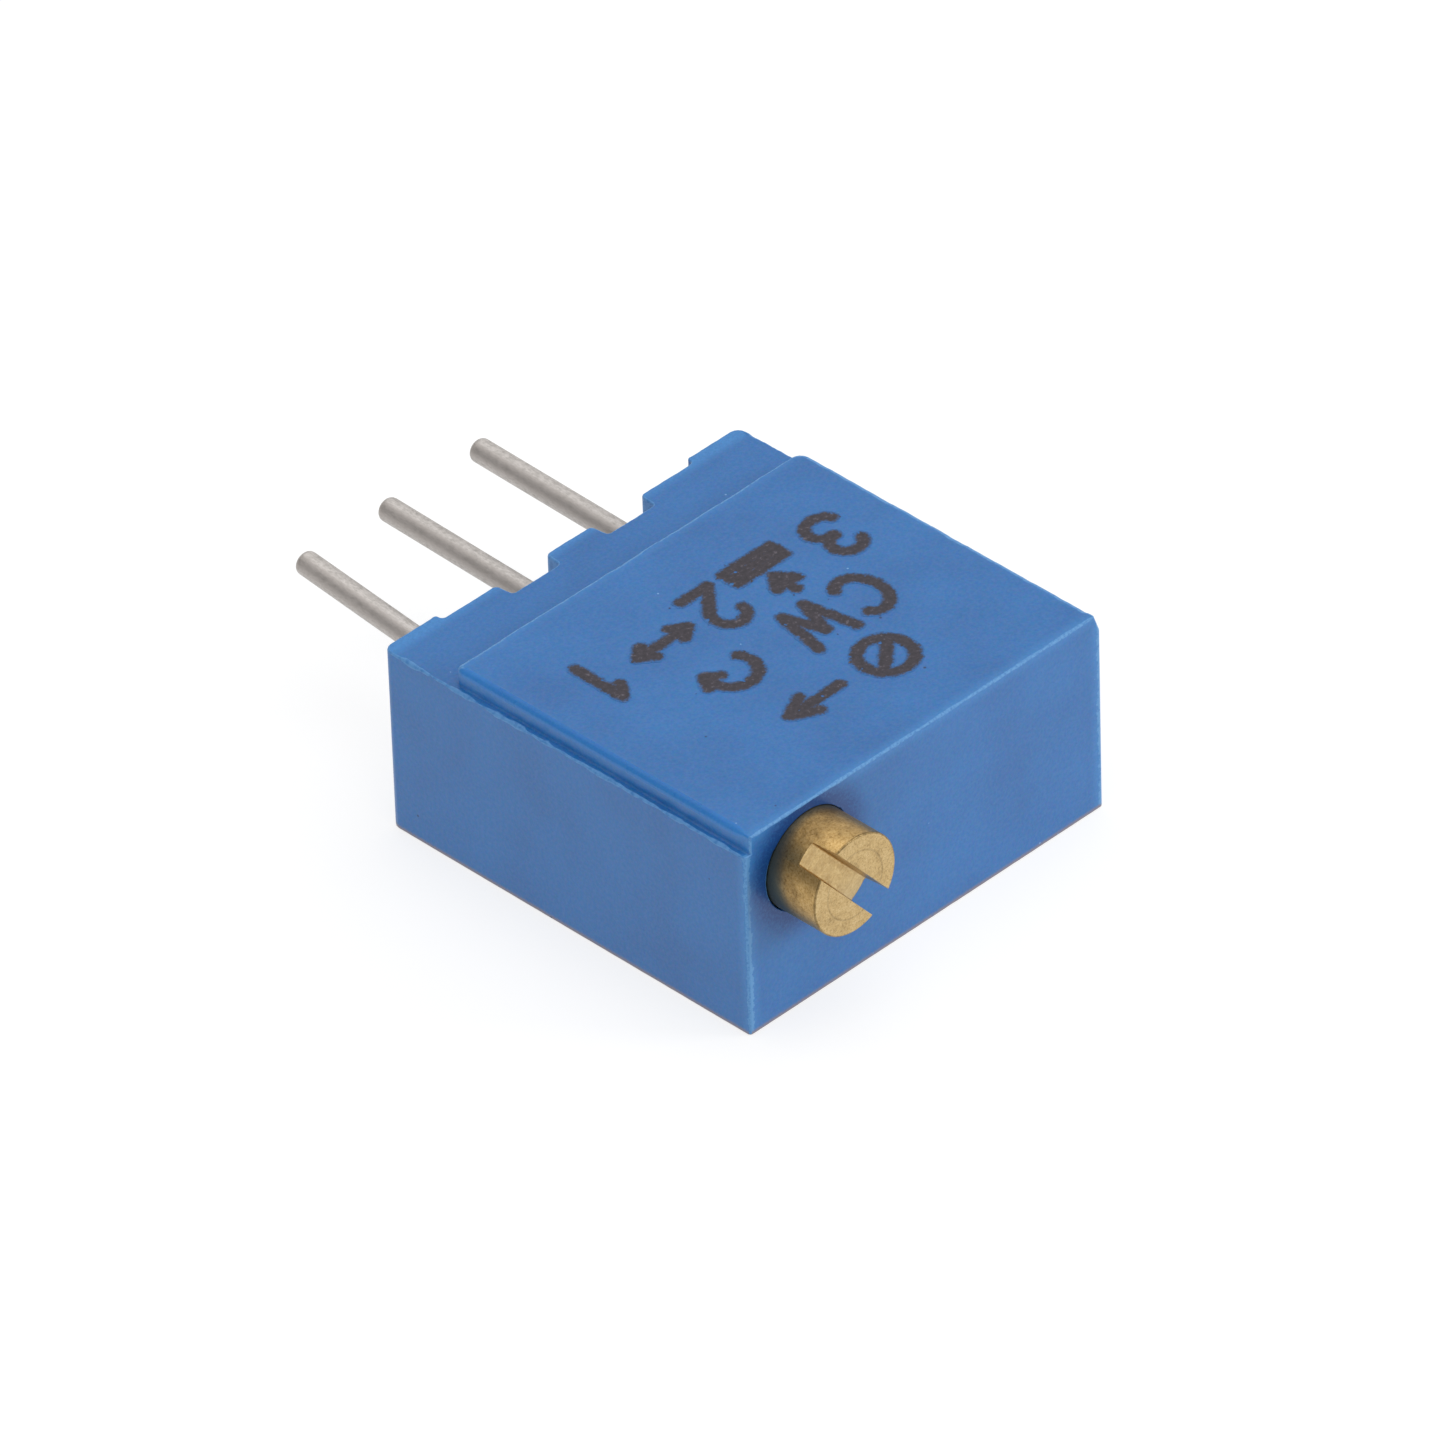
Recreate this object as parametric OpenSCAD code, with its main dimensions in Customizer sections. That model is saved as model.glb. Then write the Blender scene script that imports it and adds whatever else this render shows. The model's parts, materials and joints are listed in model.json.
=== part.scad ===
// Square multi-turn trimmer potentiometer.
// A slotted brass worm screw turns a toothed rotor, and the rotor's spring wiper sweeps
// a cermet arc between three in-line pins. All sizes are in millimetres.
// Frame: +Z out of the marked panel, -Y out of the screw face, +Y along the pins.
// The origin is the middle of the flat back face that the part lies on.

/* [Body] */
// Width across the screw face
body_w = 9.53; // [9.2:0.01:12]
// Length from the screw face to the tips of the standoffs
body_l = 9.53; // [8.9:0.01:12]
// Thickness from the back face to the marked panel
body_h = 4.57; // [4.4:0.01:5.6]
// Height of the marked panel above the side walls
panel_h = 0.4; // [0.2:0.01:0.5]
// Step from each side wall in to the panel
panel_inset = 0.15; // [0.05:0.01:0.4]
// Open ledge behind the panel, on the pin side
ledge_l = 1.8; // [1.2:0.05:2.4]
// Corner cut of the panel's rear left corner
panel_cut = 0.28; // [0.1:0.01:0.5]
// Edge radius of the moulded outline
edge_r = 0.07; // [0.03:0.01:0.2]
// Radius of the pin-side corners and of the panel's rear right corner
rear_r = 0.22; // [0.08:0.01:0.3]

/* [Pin side] */
// Width of each standoff
standoff_w = 1.41; // [0.8:0.01:1.6]
// Height of the standoffs above the pin wall
standoff_h = 0.17; // [0.1:0.01:0.3]
// Width of each notch between the pins
notch_w = 1.25; // [0.8:0.01:1.5]
// Depth of each notch into the pin wall
notch_d = 0.42; // [0.2:0.01:0.5]
// Height of each notch below the ledge
notch_h = 1.25; // [0.8:0.01:1.5]
// Radius at the mouth of each notch
notch_r = 0.12; // [0.05:0.01:0.15]
// Corner cut at the head of each pin's slot
pin_slot_cut = 0.12; // [0.05:0.01:0.2]

/* [Walls] */
// Side walls above the shelf
side_wall = 0.65; // [0.55:0.01:0.8]
// Wall behind the screw face, above the shelf
front_wall = 0.95; // [0.8:0.01:1.2]
// Wall on the pin side, above the shelf
pin_wall = 0.78; // [0.7:0.01:0.95]
// Roof under the ledge
ledge_t = 0.3; // [0.25:0.01:0.4]
// Width of the shelf that the ceramic plate seats against
shelf_w = 0.2; // [0.15:0.01:0.24]
// Corner radius of the cavity
cavity_r = 0.3; // [0.1:0.01:0.5]

/* [Adjusting screw] */
// Diameter of the slotted head and of the screw in its bore
head_d = 2.14; // [1.9:0.01:2.6]
// Length of the head outside the screw face
head_out = 1.22; // [0.8:0.01:1.6]
// Rim chamfer of the head
head_cut = 0.07; // [0.03:0.01:0.12]
// Width of the screwdriver slot
slot_w = 0.55; // [0.4:0.01:0.7]
// Depth of the screwdriver slot
slot_d = 0.6; // [0.4:0.01:0.8]
// Direction of the slot at rest, from +X towards -Z
slot_dir = 49.8; // [0:0.1:180]
// Head length inside the bore, up to the O-ring groove
head_in = 0.42; // [0.3:0.01:0.6]
// Cord diameter of the O-ring, which sets the groove's floor and the neck behind the collar
ring_cord = 0.48; // [0.4:0.01:0.6]
// Side room of the O-ring in its groove
ring_room = 0.07; // [0.04:0.01:0.15]
// Length of the collar behind the groove
collar_l = 0.75; // [0.5:0.01:0.9]
// Length of the thrust flange in front of the worm
flange_l = 0.3; // [0.2:0.01:0.4]
// Diameter of the tail journal
journal_d = 0.9; // [0.7:0.01:1.0]
// Length of the journal in its bearing
journal_l = 0.4; // [0.3:0.01:0.5]
// Material between the screw bore and the marked panel
bore_roof = 0.18; // [0.15:0.01:0.4]
// Material between the screw bore and the side face
bore_side = 0.515; // [0.45:0.005:0.8]
// Wall of the boss round the screw bore, on the rotor side
boss_wall = 0.2; // [0.15:0.01:0.3]
// Thickness of the retainer clip
clip_t = 0.2; // [0.15:0.01:0.3]

/* [Worm drive] */
// Teeth of the worm wheel, and turns of the screw in one turn of the wheel
wheel_teeth = 30; // [26:1:36]
// Turns of the screw between the ends of the element
screw_turns = 25; // [20:1:28]
// Pitch diameter of the worm
worm_d = 1.6; // [1.4:0.01:1.7]
// Pressure angle of the teeth
press_angle = 20; // [14.5:0.5:25]
// Running clearance on each flank
flank_gap = 0.03; // [0.02:0.005:0.05]
// Length of the threaded part of the worm
worm_l = 4.2; // [3:0.1:4.6]
// Thickness of the wheel's toothed rim
wheel_t = 1.0; // [0.8:0.01:1.1]
// Diameter of the wheel's hub
hub_d = 3.1; // [2.8:0.01:3.3]
// Diameter of the pivot post
post_d = 1.6; // [1.2:0.01:1.8]
// Room between the tooth tips and the cavity walls
rim_gap = 0.5; // [0.3:0.01:0.8]

/* [Element and wiper] */
// Thickness of the alumina plate
substrate_t = 0.635; // [0.5:0.005:0.8]
// Thickness of the printed films
film_t = 0.02; // [0.01:0.001:0.025]
// Width of the resistive arc
track_w = 0.7; // [0.4:0.01:0.8]
// Room between the resistive arc and the worm, seen from above
track_gap = 0.06; // [0.04:0.01:0.2]
// Width of the collector ring
ring_w = 0.5; // [0.3:0.01:0.6]
// Extra arc past each end of the wiper's travel, in degrees
track_over = 5; // [3:1:8]
// Thickness of the wiper's sheet
sheet_t = 0.08; // [0.06:0.01:0.1]
// Height of the wiper's plate above the films
wiper_lift = 0.28; // [0.22:0.01:0.32]
// Width of each wiper finger
finger_w = 0.32; // [0.2:0.01:0.36]
// Length of each wiper finger
finger_l = 0.95; // [0.7:0.01:1.1]
// Rounding of each finger at its contact line
contact_r = 0.12; // [0.08:0.01:0.15]
// Width of the wiper's arm out to the resistive arc
arm_w = 0.3; // [0.2:0.01:0.4]
// Diameter of the staked pegs that hold the wiper
peg_d = 0.3; // [0.2:0.01:0.4]

/* [Pins] */
// Diameter of the pins
pin_d = 0.51; // [0.4:0.01:0.6]
// Distance between pins
pin_pitch = 2.54; // [2.3:0.01:3.05]
// Length of the pins beyond the standoffs
pin_out = 5.0; // [3:0.1:7]
// Height of the pins above the back face
pin_z = 2.285; // [2.2:0.005:2.4]
// Rounding of the pin tips
tip_r = 0.12; // [0.05:0.01:0.2]
// Thickness of each pin where it is coined flat, on its pad and through the wall
coin_t = 0.4; // [0.35:0.01:0.48]
// Corner rounding of the coined length
coin_r = 0.08; // [0.04:0.01:0.12]
// Length of each pin on its pad, inside the pin wall
pin_in = 0.8; // [0.6:0.01:1.0]
// Conductive pad beside and behind each pin
pad_edge = 0.15; // [0.1:0.01:0.3]
// Solder behind the end of each pin
solder_back = 0.25; // [0.1:0.01:0.4]
// Solder along each pin
solder_l = 0.55; // [0.3:0.01:0.6]
// Height of the solder up the side of a pin, as a share of the coined thickness
solder_rise = 0.7; // [0.5:0.05:0.9]

/* [Back cover] */
// Thickness of the cover plate
cover_t = 0.55; // [0.4:0.01:0.7]
// Width of the rim that holds the ceramic plate
rim_w = 0.5; // [0.3:0.01:0.8]
// Width and depth of the seal groove round the cover
seal_w = 0.2; // [0.15:0.01:0.3]

/* [Clearances] */
// Radial clearance of the screw in its bore and of the journal in its bearing
screw_gap = 0.05; // [0.02:0.005:0.08]
// Radial clearance of the wheel on its post
post_gap = 0.04; // [0.02:0.005:0.08]
// Gap round pieces that drop into the tub
drop_gap = 0.04; // [0.02:0.005:0.08]
// End play of the screw at the clip
end_play = 0.02; // [0.01:0.005:0.04]
// Play of the wheel under the roof
wheel_play = 0.1; // [0.05:0.01:0.2]
// Room for epoxy round each pin in its slot
pin_gap = 0.06; // [0.03:0.01:0.1]
// Air under the wiper's contact points and round potted pieces
touch_gap = 0.01; // [0.005:0.001:0.02]

/* [Hidden] */
$fn = 48;
eps = 0.01;

// Outline of the body
side_x = body_w / 2;
face_y = -body_l / 2;
feet_y = body_l / 2;
back_y = feet_y - standoff_h;
ledge_z = body_h - panel_h;
panel_y = feet_y - ledge_l;

// Cavity above the shelf, where the worm drive is
roof_z = ledge_z - ledge_t;
room_x = side_x - side_wall;
room_y0 = face_y + front_wall;
room_y1 = back_y - pin_wall;

// Screw: its bore leaves a named thickness to the panel and to the side face
head_r = head_d / 2;
bore_r = head_r + screw_gap;
neck_r = bore_r - ring_cord - 2 * touch_gap;
screw_x = bore_r + bore_side - side_x;
screw_z = body_h - bore_roof - bore_r;

// Stations along the screw, from the head towards the pins
head_y = face_y - head_out;
groove_y0 = face_y + head_in;
groove_y1 = groove_y0 + ring_cord + ring_room;
collar_y = groove_y1 + collar_l;
clip_y = collar_y + end_play;
flange_y0 = clip_y + clip_t + end_play;
flange_y1 = flange_y0 + flange_l;
journal_y0 = room_y1 - screw_gap;
journal_y1 = room_y1 + journal_l;
bearing_y = journal_y1 + screw_gap;

// Worm and wheel: the wheel fills the room between the worm and the far walls
add_share = 0.9;
ded_share = 1.15;
worm_r = worm_d / 2;
wheel_y = (room_y0 + room_y1) / 2;
fit_x = (room_x - rim_gap - screw_x - worm_r) / (2 + 2 * add_share / wheel_teeth);
fit_y = ((room_y1 - room_y0) / 2 - rim_gap) / (1 + 2 * add_share / wheel_teeth);
wheel_r = min(fit_x, fit_y);
wheel_x = screw_x + worm_r + wheel_r;
tooth_m = 2 * wheel_r / wheel_teeth;
tooth_add = add_share * tooth_m;
tooth_ded = ded_share * tooth_m;
tooth_w = PI * tooth_m / 2 - flank_gap;
lead = PI * tooth_m;
lead_angle = atan(lead / (PI * worm_d));
worm_tip_r = worm_r + tooth_add;
worm_root_r = worm_r - tooth_ded;
worm_y1 = wheel_y + worm_l / 2;
thread_sink = 0.08;
ratio = 1 / wheel_teeth;
half_turn = screw_turns * 360 * ratio / 2;

// Stack from the back face up: cover, ceramic plate, films, wiper, wheel.
// The pins lie on the plate's films, and a wider screw bore pushes the plate down.
substrate_z1 = min(pin_z - coin_t / 2 - film_t, screw_z - bore_r - 2 * drop_gap);
substrate_z0 = substrate_z1 - substrate_t;
film_z = substrate_z1 + film_t;
plate_z0 = film_z + wiper_lift;
hub_z = plate_z0 + sheet_t;
wheel_z1 = roof_z - wheel_play;
wheel_z0 = wheel_z1 - wheel_t;

// Element: the arc stays clear of the worm, and its opening faces the middle pin
post_r = post_d / 2;
hub_r = hub_d / 2;
track_r1 = worm_r + wheel_r - worm_tip_r - track_gap;
track_r0 = track_r1 - track_w;
track_r = (track_r0 + track_r1) / 2;
ring_r0 = post_r + 2 * drop_gap;
ring_r1 = ring_r0 + ring_w;
ring_r = (ring_r0 + ring_r1) / 2;
coin_w = PI * pin_d * pin_d / 4 / coin_t;
pad_w = coin_w + 2 * pad_edge;
pad_y1 = room_y1 - drop_gap;
pin_y0 = room_y1 - pin_in;
pad_y0 = pin_y0 - solder_back;
solder_y1 = pin_y0 + solder_l;
open_dir = atan2(pin_y0 - wheel_y, -wheel_x);
open_half = 180 - half_turn - track_over;

// A closed outline with each corner rounded by its own radius, by arcs of a few points
function corner(a, b, c, r, steps = 4) =
    let (
        u = (a - b) / norm(a - b),
        v = (c - b) / norm(c - b),
        half = acos(u * v) / 2,
        back = r / tan(half),
        middle = b + (u + v) / norm(u + v) * r / sin(half),
        from = b + u * back - middle,
        to = b + v * back - middle,
        turn = cross(from, to) > 0 ? 180 - 2 * half : 2 * half - 180
    )
    r == 0 ? [b] : [for (i = [0 : steps]) middle + rotated(from, turn * i / steps)];

function rotated(p, angle) =
    [p.x * cos(angle) - p.y * sin(angle), p.x * sin(angle) + p.y * cos(angle)];

function rounded(points, radii) =
    let (n = len(points))
    [
        for (i = [0 : n - 1])
            each corner(points[(i + n - 1) % n], points[i], points[(i + 1) % n], radii[i])
    ];

function box_points(x0, y0, x1, y1) = [[x0, y0], [x1, y0], [x1, y1], [x0, y1]];

function polar(r, angle) = [r * cos(angle), r * sin(angle)];

// A box with upright rounded corners
module rounded_box(x0, y0, x1, y1, z0, z1, r) {
    translate([0, 0, z0])
        linear_extrude(z1 - z0)
            polygon(rounded(box_points(x0, y0, x1, y1), [r, r, r, r]));
}

// A piece drawn along +Z, laid along the screw's axis, with z as the station along Y
module on_screw_axis() {
    translate([screw_x, 0, screw_z]) rotate([-90, 0, 0]) children();
}

// A piece drawn round the origin, set on the rotor's axis
module on_rotor_axis() {
    translate([wheel_x, wheel_y, 0]) children();
}

// A straight round length between two stations
module turned(r, from, to) {
    translate([0, 0, from]) cylinder(r = r, h = to - from);
}

// Outer outline, seen from above: standoffs at the pin-side corners, and the notches if wanted
module body_outline(notched = false) {
    inner_x = side_x - standoff_w;
    foot_r = standoff_h * 0.45;
    half = notch_w / 2;
    mouth = half + notch_d * tan(4);
    floor_y = back_y - notch_d;
    // One notch from its right side to its left, each corner with its radius
    cut = [
        [mouth, back_y, notch_r], [half, floor_y, notch_r / 2],
        [-half, floor_y, notch_r / 2], [-mouth, back_y, notch_r]
    ];
    corners = [
        [-side_x, face_y, edge_r], [side_x, face_y, edge_r],
        [side_x, feet_y, rear_r], [inner_x, feet_y, foot_r], [inner_x, back_y, foot_r],
        each [
            for (side = notched ? [1, -1] : [], c = cut) c + [side * pin_pitch / 2, 0, 0]
        ],
        [-inner_x, back_y, foot_r], [-inner_x, feet_y, foot_r], [-side_x, feet_y, rear_r]
    ];
    polygon(rounded([for (c = corners) [c.x, c.y]], [for (c = corners) c.z]));
}

// Raised panel that carries the marking, with its cut rear left corner
module panel_outline() {
    x = side_x - panel_inset;
    corners = [
        [-x, face_y], [x, face_y], [x, panel_y],
        [panel_cut - x, panel_y], [-x, panel_y - panel_cut]
    ];
    polygon(rounded(corners, [edge_r, edge_r, rear_r, edge_r / 2, edge_r / 2]));
}

// Slope that runs from the panel's right edge down to the right side wall
module panel_slope() {
    hull()
        for (station = [[side_x, ledge_z - eps], [side_x - panel_inset, body_h - eps]])
            translate([0, 0, station.y])
                linear_extrude(eps)
                    polygon(rounded(
                        box_points(0, face_y, station.x, panel_y), [0, edge_r, rear_r, 0]
                    ));
}

// Slot through the pin wall, open at the back so that the pin drops in, with a cut-cornered head
module pin_slot(gap, z0, y0, y1) {
    w = coin_w / 2 + gap;
    top = -pin_z - coin_t / 2 - gap;
    translate([0, y0, 0])
        rotate([-90, 0, 0])
            linear_extrude(y1 - y0)
                polygon([
                    [-w, -z0], [w, -z0], [w, top + pin_slot_cut], [w - pin_slot_cut, top],
                    [pin_slot_cut - w, top], [-w, top + pin_slot_cut]
                ]);
}

// Copies at the three pins
module at_pins() {
    for (i = [-1 : 1]) translate([i * pin_pitch, 0, 0]) children();
}

module housing() {
    color("#3f7fc0")
        difference() {
            union() {
                difference() {
                    union() {
                        linear_extrude(ledge_z - notch_h) body_outline();
                        translate([0, 0, ledge_z - notch_h - eps])
                            linear_extrude(notch_h + eps) body_outline(notched = true);
                        linear_extrude(body_h) panel_outline();
                        panel_slope();
                    }
                    cavity();
                }
                screw_boss();
                on_rotor_axis() turned(post_r, hub_z, roof_z + eps);
            }
            on_screw_axis() turned(bore_r, face_y - eps, collar_y + eps);
            on_screw_axis() turned(journal_d / 2 + screw_gap, room_y1 - eps, bearing_y);
            on_screw_axis() turned(worm_tip_r + 2 * screw_gap, collar_y, worm_y1 + 2 * screw_gap);
            at_pins() pin_slot(pin_gap, -eps, room_y1 - eps, feet_y);
        }
}

// Room for the drive above the shelf, and for the ceramic plate and the cover below it
module cavity() {
    rounded_box(-room_x, room_y0, room_x, room_y1, -eps, roof_z, cavity_r);
    drop_in(0, -eps, substrate_z1);
}

// The plan of what drops into the back of the tub, smaller by gap all round
module drop_in(gap, z0, z1) {
    x = room_x + shelf_w - gap;
    rounded_box(-x, room_y0 - shelf_w + gap, x, room_y1 + shelf_w - gap, z0, z1, cavity_r);
}

// Block that carries the screw's bore behind the screw face
module screw_boss() {
    x1 = screw_x + bore_r + boss_wall;
    z0 = substrate_z1 + 2 * drop_gap;
    translate([-room_x - eps, room_y0 - eps, z0])
        cube([x1 + room_x + eps, collar_y - room_y0 + eps, roof_z - z0 + eps]);
}

module back_cover() {
    color("#3a76b4")
        difference() {
            drop_in(drop_gap, 0, substrate_z0);
            drop_in(drop_gap + rim_w, cover_t, substrate_z0 + eps);
            difference() {
                drop_in(-eps, -eps, seal_w);
                drop_in(drop_gap + seal_w, -2 * eps, seal_w + eps);
            }
        }
}

module cover_seal() {
    color("#2c3f63")
        difference() {
            drop_in(0, 2 * touch_gap, seal_w);
            drop_in(drop_gap + seal_w, 0, seal_w + eps);
            at_pins() pin_slot(pin_gap, -eps, room_y1, feet_y);
        }
}

module pin_seal() {
    bar_x = min(pin_pitch + pad_w, room_x - cavity_r);
    bar_z1 = min(pin_z + coin_t / 2 + pin_gap, screw_z - worm_root_r - screw_gap);
    color("#2c3f63")
        difference() {
            union() {
                translate([-bar_x, solder_y1 + touch_gap, film_z])
                    cube([2 * bar_x, room_y1 - solder_y1 - touch_gap, bar_z1 - film_z]);
                at_pins()
                    pin_slot(pin_gap - touch_gap, film_z, room_y1 - eps, back_y - 4 * touch_gap);
                at_pins()
                    pin_slot(pin_gap - touch_gap, seal_w, room_y1 + shelf_w, back_y - 4 * touch_gap);
            }
            at_pins() coined_length();
        }
}

module substrate() {
    color("#f0ede4") drop_in(drop_gap, substrate_z0, substrate_z1);
}

// Flat film printed on the plate
module film() {
    translate([0, 0, substrate_z1]) linear_extrude(film_t) children();
}

// Part of a flat ring on the rotor's axis, between two directions
module arc_film(r0, r1, from, to) {
    on_rotor_axis()
        rotate([0, 0, from])
            translate([0, 0, substrate_z1])
                rotate_extrude(angle = to - from)
                    translate([r0, 0]) square([r1 - r0, film_t]);
}

module resistive_track() {
    color("#3b3a38")
        arc_film(track_r0, track_r1, open_dir + open_half, open_dir + 360 - open_half);
}

module collector_track() {
    wide = ring_w / 3;
    start = polar(ring_r, open_dir) + [wheel_x, wheel_y];
    color("#c9c6bd") {
        arc_film(ring_r0, ring_r1, 0, 360);
        film()
            difference() {
                union() {
                    polygon([
                        start - [wide, 0], start + [wide, 0],
                        [wide, pad_y0 + eps], [-wide, pad_y0 + eps]
                    ]);
                    polygon(box_points(-pad_w / 2, pad_y0, pad_w / 2, pad_y1));
                }
                translate([wheel_x, wheel_y]) circle((ring_r0 + ring_r1) / 2 + eps);
            }
    }
}

// Print from one end of the arc to an outer pin; side is -1 for pin 1 and 1 for pin 3
module end_conductor(side) {
    end = open_dir - side * open_half;
    near = end + side * open_half / 2;
    centre = [wheel_x, wheel_y];
    inner_x = side * (pin_pitch - pad_w / 2);
    outer_x = side * (pin_pitch + pad_w / 2);
    color("#c9c6bd")
        film()
            polygon([
                centre + polar(track_r0, near), centre + polar(track_r0, end),
                centre + polar(track_r1, end), [inner_x, pad_y0], [outer_x, pad_y0],
                [outer_x, pad_y1], [inner_x, pad_y1], [inner_x, pad_y0 + pad_w / 2],
                centre + polar(track_r1, near)
            ]);
}

module end_conductor_1() { end_conductor(-1); }

module end_conductor_3() { end_conductor(1); }

// Coined section of a pin: the wire's own area, squeezed flat
module coin_outline() {
    x = coin_w / 2;
    z = coin_t / 2;
    polygon(rounded(box_points(-x, -z, x, z), [coin_r, coin_r, coin_r, coin_r]));
}

// The coined length along +Y, from the pad to the outside of the pin wall
module coined_length() {
    translate([0, pin_y0, pin_z])
        rotate([-90, 0, 0]) linear_extrude(back_y - pin_y0) coin_outline();
}

// A wire along +Y that runs out from its coined length to round at the seating plane
module pin(number) {
    pin_r = pin_d / 2;
    tip_y = feet_y + pin_out;
    color("#b9bcc0")
        translate([(number - 2) * pin_pitch, 0, 0]) {
            coined_length();
            translate([0, 0, pin_z])
                rotate([-90, 0, 0]) {
                    hull() {
                        translate([0, 0, back_y - eps]) linear_extrude(eps) coin_outline();
                        translate([0, 0, feet_y]) linear_extrude(eps) circle(pin_r, $fn = 32);
                    }
                    rotate_extrude()
                        polygon([
                            [0, feet_y], [pin_r, feet_y],
                            each [
                                for (a = [0 : 22.5 : 90])
                                    [pin_r - tip_r, tip_y - tip_r] + polar(tip_r, a)
                            ],
                            [0, tip_y]
                        ]);
                }
        }
}

module pin_1() { pin(1); }

module pin_2() { pin(2); }

module pin_3() { pin(3); }

// Solder that climbs both sides of the wire and closes behind its end
module solder(number) {
    foot = pad_w / 2;
    shoulder = coin_w / 2;
    climb = pin_z - film_z + (solder_rise - 0.5) * coin_t;
    color("#a9adb2")
        translate([(number - 2) * pin_pitch, 0, 0])
            difference() {
                translate([0, solder_y1, film_z])
                    rotate([90, 0, 0])
                        linear_extrude(solder_y1 - pad_y0)
                            polygon([
                                [-foot, 0], [foot, 0], [shoulder, climb], [-shoulder, climb]
                            ]);
                coined_length();
            }
}

module solder_1() { solder(1); }

module solder_2() { solder(2); }

module solder_3() { solder(3); }

// Sheet clip across the screw's neck, open towards the roof
module screw_retainer() {
    half_w = min(worm_tip_r, bore_r + bore_side - side_wall - touch_gap);
    inner_r = neck_r + screw_gap;
    foot_z = substrate_z1 + touch_gap;
    top_z = roof_z - wheel_play;
    color("#c7c9cb")
        translate([screw_x, clip_y + clip_t, 0])
            rotate([90, 0, 0])
                linear_extrude(clip_t)
                    difference() {
                        polygon(box_points(-half_w, foot_z, half_w, top_z));
                        translate([0, screw_z]) circle(inner_r);
                        translate([-inner_r, screw_z]) square([2 * inner_r, body_h]);
                    }
}

// Helical ridge of the worm: a trapezoid swept along the pitch line, run out at both ends.
// The screw's axis is +Z here, and the gap between two turns meets the wheel's tooth at +X.
module worm_thread() {
    per_turn = 24;
    run_out = per_turn / 3;
    sunk_r = worm_root_r - thread_sink;
    start_r = worm_root_r - thread_sink / 4;
    slope = tan(press_angle);
    first = -floor(per_turn * worm_l / 2 / lead);
    last = floor(per_turn * (worm_l / 2 / lead - 1));
    rings = [
        for (i = [first : last])
            let (
                angle = 360 * i / per_turn,
                z = wheel_y + lead * (0.5 + i / per_turn),
                rise = min(1, (i - first) / run_out, (last - i) / run_out),
                tip = start_r + (worm_tip_r - start_r) * rise,
                foot_w = tooth_w / 2 + (worm_r - sunk_r) * slope,
                tip_w = tooth_w / 2 + (worm_r - tip) * slope
            )
            each [
                [each polar(sunk_r, angle), z - foot_w], [each polar(tip, angle), z - tip_w],
                [each polar(tip, angle), z + tip_w], [each polar(sunk_r, angle), z + foot_w]
            ]
    ];
    count = last - first;
    sides = [
        for (i = [0 : count - 1], k = [0 : 3])
            let (a = 4 * i + k, b = 4 * i + (k + 1) % 4)
            each [[a, b, a + 4], [b, b + 4, a + 4]]
    ];
    ends = [[3, 2, 1, 0], [for (k = [0 : 3]) 4 * count + k]];
    polyhedron(rings, concat(sides, ends));
}

module adjusting_screw() {
    color("#b08a3e")
        on_screw_axis() {
            difference() {
                union() {
                    translate([0, 0, head_y])
                        cylinder(r1 = head_r - head_cut, r2 = head_r, h = head_cut);
                    turned(head_r, head_y + head_cut, groove_y0);
                    turned(neck_r, groove_y0 - eps, flange_y0 + eps);
                    turned(head_r, groove_y1, collar_y);
                    turned(worm_tip_r, flange_y0, flange_y1);
                }
                rotate([0, 0, slot_dir])
                    translate([-head_d, -slot_w / 2, head_y - eps])
                        cube([2 * head_d, slot_w, slot_d + eps]);
            }
            turned(worm_root_r, flange_y1 - eps, journal_y0);
            turned(journal_d / 2, journal_y0 - eps, journal_y1);
            worm_thread();
        }
}

module o_ring() {
    color("#2a2a2c")
        on_screw_axis()
            translate([0, 0, (groove_y0 + groove_y1) / 2])
                rotate_extrude() translate([(bore_r + neck_r) / 2, 0]) circle(ring_cord / 2);
}

// Half of the angle that a tooth takes at radius r, from the involute of its base circle
function tooth_half(r) =
    let (
        base_r = wheel_r * cos(press_angle),
        at = acos(min(1, base_r / r))
    )
    tooth_w / wheel_r * 90 / PI + involute(press_angle) - involute(at);

function involute(angle) = tan(angle) * 180 / PI - angle;

// Toothed outline of the wheel, with one tooth centred on -X to fall between two worm turns
module wheel_outline() {
    root_r = wheel_r - tooth_ded;
    tip_r = wheel_r + tooth_add;
    levels = [root_r, wheel_r * cos(press_angle), wheel_r, tip_r];
    polygon([
        for (i = [0 : wheel_teeth - 1])
            let (middle = 180 + 360 * i / wheel_teeth)
            each concat(
                [for (r = levels) polar(r, middle - tooth_half(r))],
                [for (k = [3 : -1 : 0]) polar(levels[k], middle + tooth_half(levels[k]))]
            )
    ]);
}

// Twist of the teeth that follows the worm's lead angle, in degrees for a height
function tooth_twist(height) = height * tan(lead_angle) / wheel_r * 180 / PI;

module worm_wheel() {
    color("#e8e4d6")
        on_rotor_axis() {
            difference() {
                union() {
                    rotate([0, 0, tooth_twist(wheel_z0 - screw_z)])
                        translate([0, 0, wheel_z0])
                            linear_extrude(wheel_t, twist = -tooth_twist(wheel_t), slices = 2)
                                wheel_outline();
                    turned(hub_r, hub_z, wheel_z0 + eps);
                }
                turned(post_r + post_gap, hub_z - eps, wheel_z1 + eps);
            }
            wiper_pegs(peg_d / 2, hub_z + eps);
        }
}

// Staked pegs that hold the wiper to the hub
module wiper_pegs(r, z1) {
    peg_at = (post_r + hub_r) / 2;
    for (turn = [0, 180])
        rotate([0, 0, open_dir + turn])
            translate([0, peg_at, 0]) turned(r, plate_z0 - sheet_t / 2, z1);
}

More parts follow.
